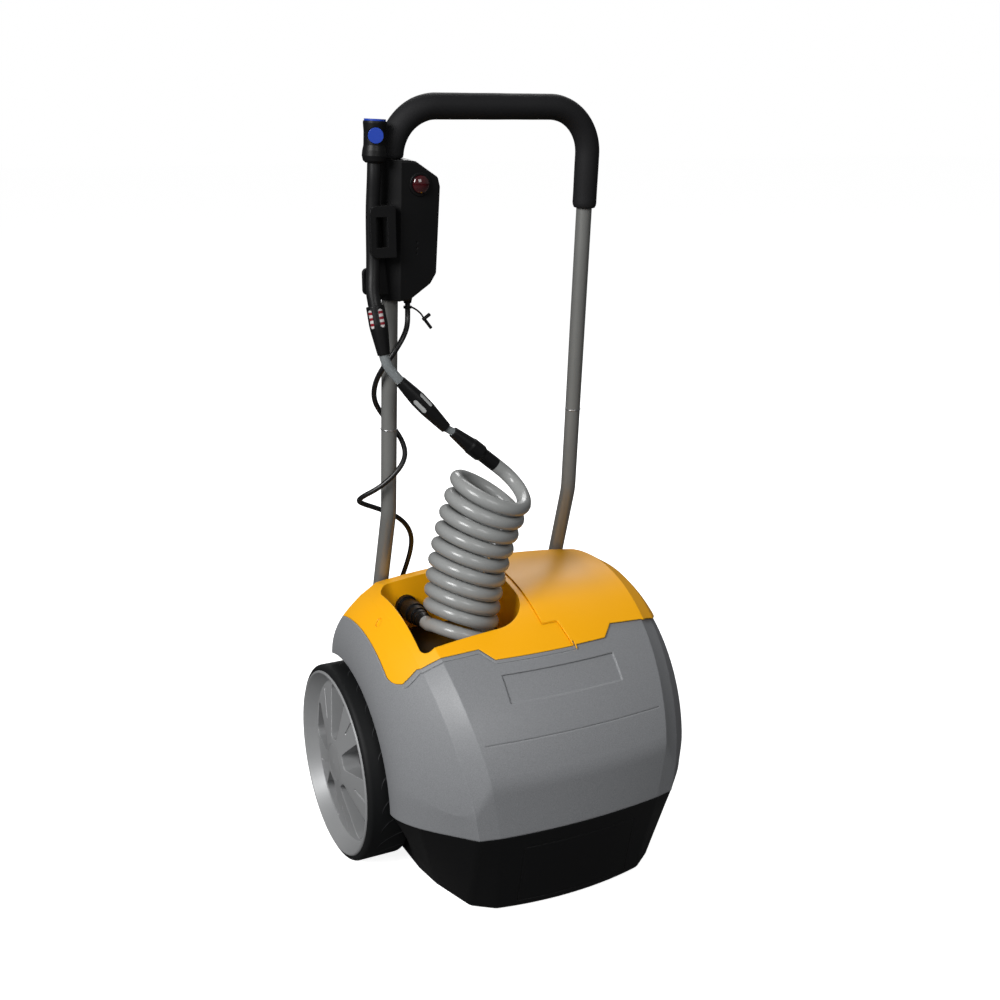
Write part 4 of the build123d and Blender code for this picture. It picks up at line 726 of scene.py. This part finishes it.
joiner_foot = in_frame(-159.8, -42.0, 674.1)
joiner_head = in_frame(-164.9, -30.0, 731.5)
pane_bands = bpy.data.materials.new("pane_bands")
pane_bands.use_nodes = True
band_tree = pane_bands.node_tree
band_shader = band_tree.nodes["Principled BSDF"]
along = band_tree.nodes.new("ShaderNodeVectorMath")
along.operation = "DOT_PRODUCT"
along.inputs[1].default_value = (joiner_head - joiner_foot).normalized()
band_tree.links.new(object_place(band_tree), along.inputs[0])
wave = maths(band_tree, "FRACT", maths(band_tree, "MULTIPLY", along.outputs["Value"], BANDS_PER_METRE))
wave_height = maths(band_tree, "ABSOLUTE", maths(band_tree, "SUBTRACT", wave, 0.5))
band = maths(band_tree, "MULTIPLY_ADD", wave_height, BAND_GAIN, BAND_SHIFT, clamp=True)
speck = noise(band_tree, BAND_SPECK)
red = blend_colours(band_tree, speck, BAND_RED, BAND_RED_DARK)
band_tree.links.new(blend_colours(band_tree, band, BAND_WHITE, red), band_shader.inputs["Base Color"])
band_roughness = maths(band_tree, "MULTIPLY_ADD", speck, BAND_ROUGH_SPREAD, BAND_ROUGH)
band_tree.links.new(band_roughness, band_shader.inputs["Roughness"])
paint(pane_bands, "upper_joiner_windows")
print("band material nodes:", len(band_tree.nodes))

# %% [markdown]
# The machine stands on pale paper that runs out of sight. Light Path lets the camera see it as white
# while the machine gets only a little of its light back, or black plastic would look grey.

# %% Studio floor
FLOOR_HALF = 30.0
FLOOR_GLOW = 0.88
PAPER = (0.88, 0.88, 0.88)
PAPER_SPECK = (0.90, 0.90, 0.90)
PAPER_SPECKS = 60.0
PAPER_UNSEEN = (0.10, 0.10, 0.10)
PAPER_ROUGH = 0.9
WHITE = (1.0, 1.0, 1.0, 1.0)

floor_mesh = bpy.data.meshes.new("studio_floor")
floor_corners = [(-FLOOR_HALF, -FLOOR_HALF, 0), (FLOOR_HALF, -FLOOR_HALF, 0),
                 (FLOOR_HALF, FLOOR_HALF, 0), (-FLOOR_HALF, FLOOR_HALF, 0)]
floor_mesh.from_pydata(floor_corners, [], [(0, 1, 2, 3)])
studio_floor = bpy.data.objects.new("studio_floor", floor_mesh)
bpy.context.scene.collection.objects.link(studio_floor)
floor_paper = bpy.data.materials.new("floor_paper")
floor_paper.use_nodes = True
floor_tree = floor_paper.node_tree
paper_shader = floor_tree.nodes["Principled BSDF"]
seen = floor_tree.nodes.new("ShaderNodeLightPath").outputs["Is Camera Ray"]
paper_colour = blend_colours(floor_tree, noise(floor_tree, PAPER_SPECKS), PAPER, PAPER_SPECK)
paper_colour = blend_colours(floor_tree, seen, PAPER_UNSEEN, paper_colour)
floor_tree.links.new(paper_colour, paper_shader.inputs["Base Color"])
paper_shader.inputs["Roughness"].default_value = PAPER_ROUGH
paper_shader.inputs["Specular IOR Level"].default_value = 0.0
paper_shader.inputs["Emission Color"].default_value = WHITE
paper_glow = maths(floor_tree, "MULTIPLY", seen, FLOOR_GLOW)
floor_tree.links.new(paper_glow, paper_shader.inputs["Emission Strength"])
floor_mesh.materials.append(floor_paper)
print("floor corners:", len(floor_corners))


# %% [markdown]
# A white surround fills the shadows, again with only part of its light for the machine. Large soft lamps
# do the rest. The main lamp is high on the left of the camera, so the bevels and the coil catch it.

# %% Surround and lamps
SURROUND_LIGHT = 0.13
LAMP_TARGET = (0.0, 0.0, 0.45)


def soft_lamp(name, place, size, power):
    """Square area lamp that faces the middle of the machine."""
    data = bpy.data.lights.new(name, "AREA")
    data.shape = "SQUARE"
    data.size = size
    data.energy = power
    lamp = bpy.data.objects.new(name, data)
    lamp.location = place
    aim = Vector(LAMP_TARGET) - Vector(place)
    lamp.rotation_euler = aim.to_track_quat("-Z", "Y").to_euler()
    bpy.context.scene.collection.objects.link(lamp)


studio = bpy.data.worlds.new("studio_surround")
studio.use_nodes = True
studio_tree = studio.node_tree
studio_light = studio_tree.nodes["Background"]
studio_light.inputs["Color"].default_value = WHITE
backdrop_seen = studio_tree.nodes.new("ShaderNodeLightPath").outputs["Is Camera Ray"]
studio_strength = maths(studio_tree, "MULTIPLY_ADD", backdrop_seen, 1.0 - SURROUND_LIGHT, SURROUND_LIGHT)
studio_tree.links.new(studio_strength, studio_light.inputs["Strength"])
bpy.context.scene.world = studio
soft_lamp("main_lamp", place=(-2.6, -1.3, 2.3), size=1.5, power=110.0)
soft_lamp("front_lamp", place=(-0.1, -2.9, 2.3), size=1.4, power=24.0)
soft_lamp("back_lamp", place=(1.2, 2.2, 2.4), size=1.6, power=40.0)
bpy.context.scene.view_settings.view_transform = "Standard"
print("lamps face", LAMP_TARGET)
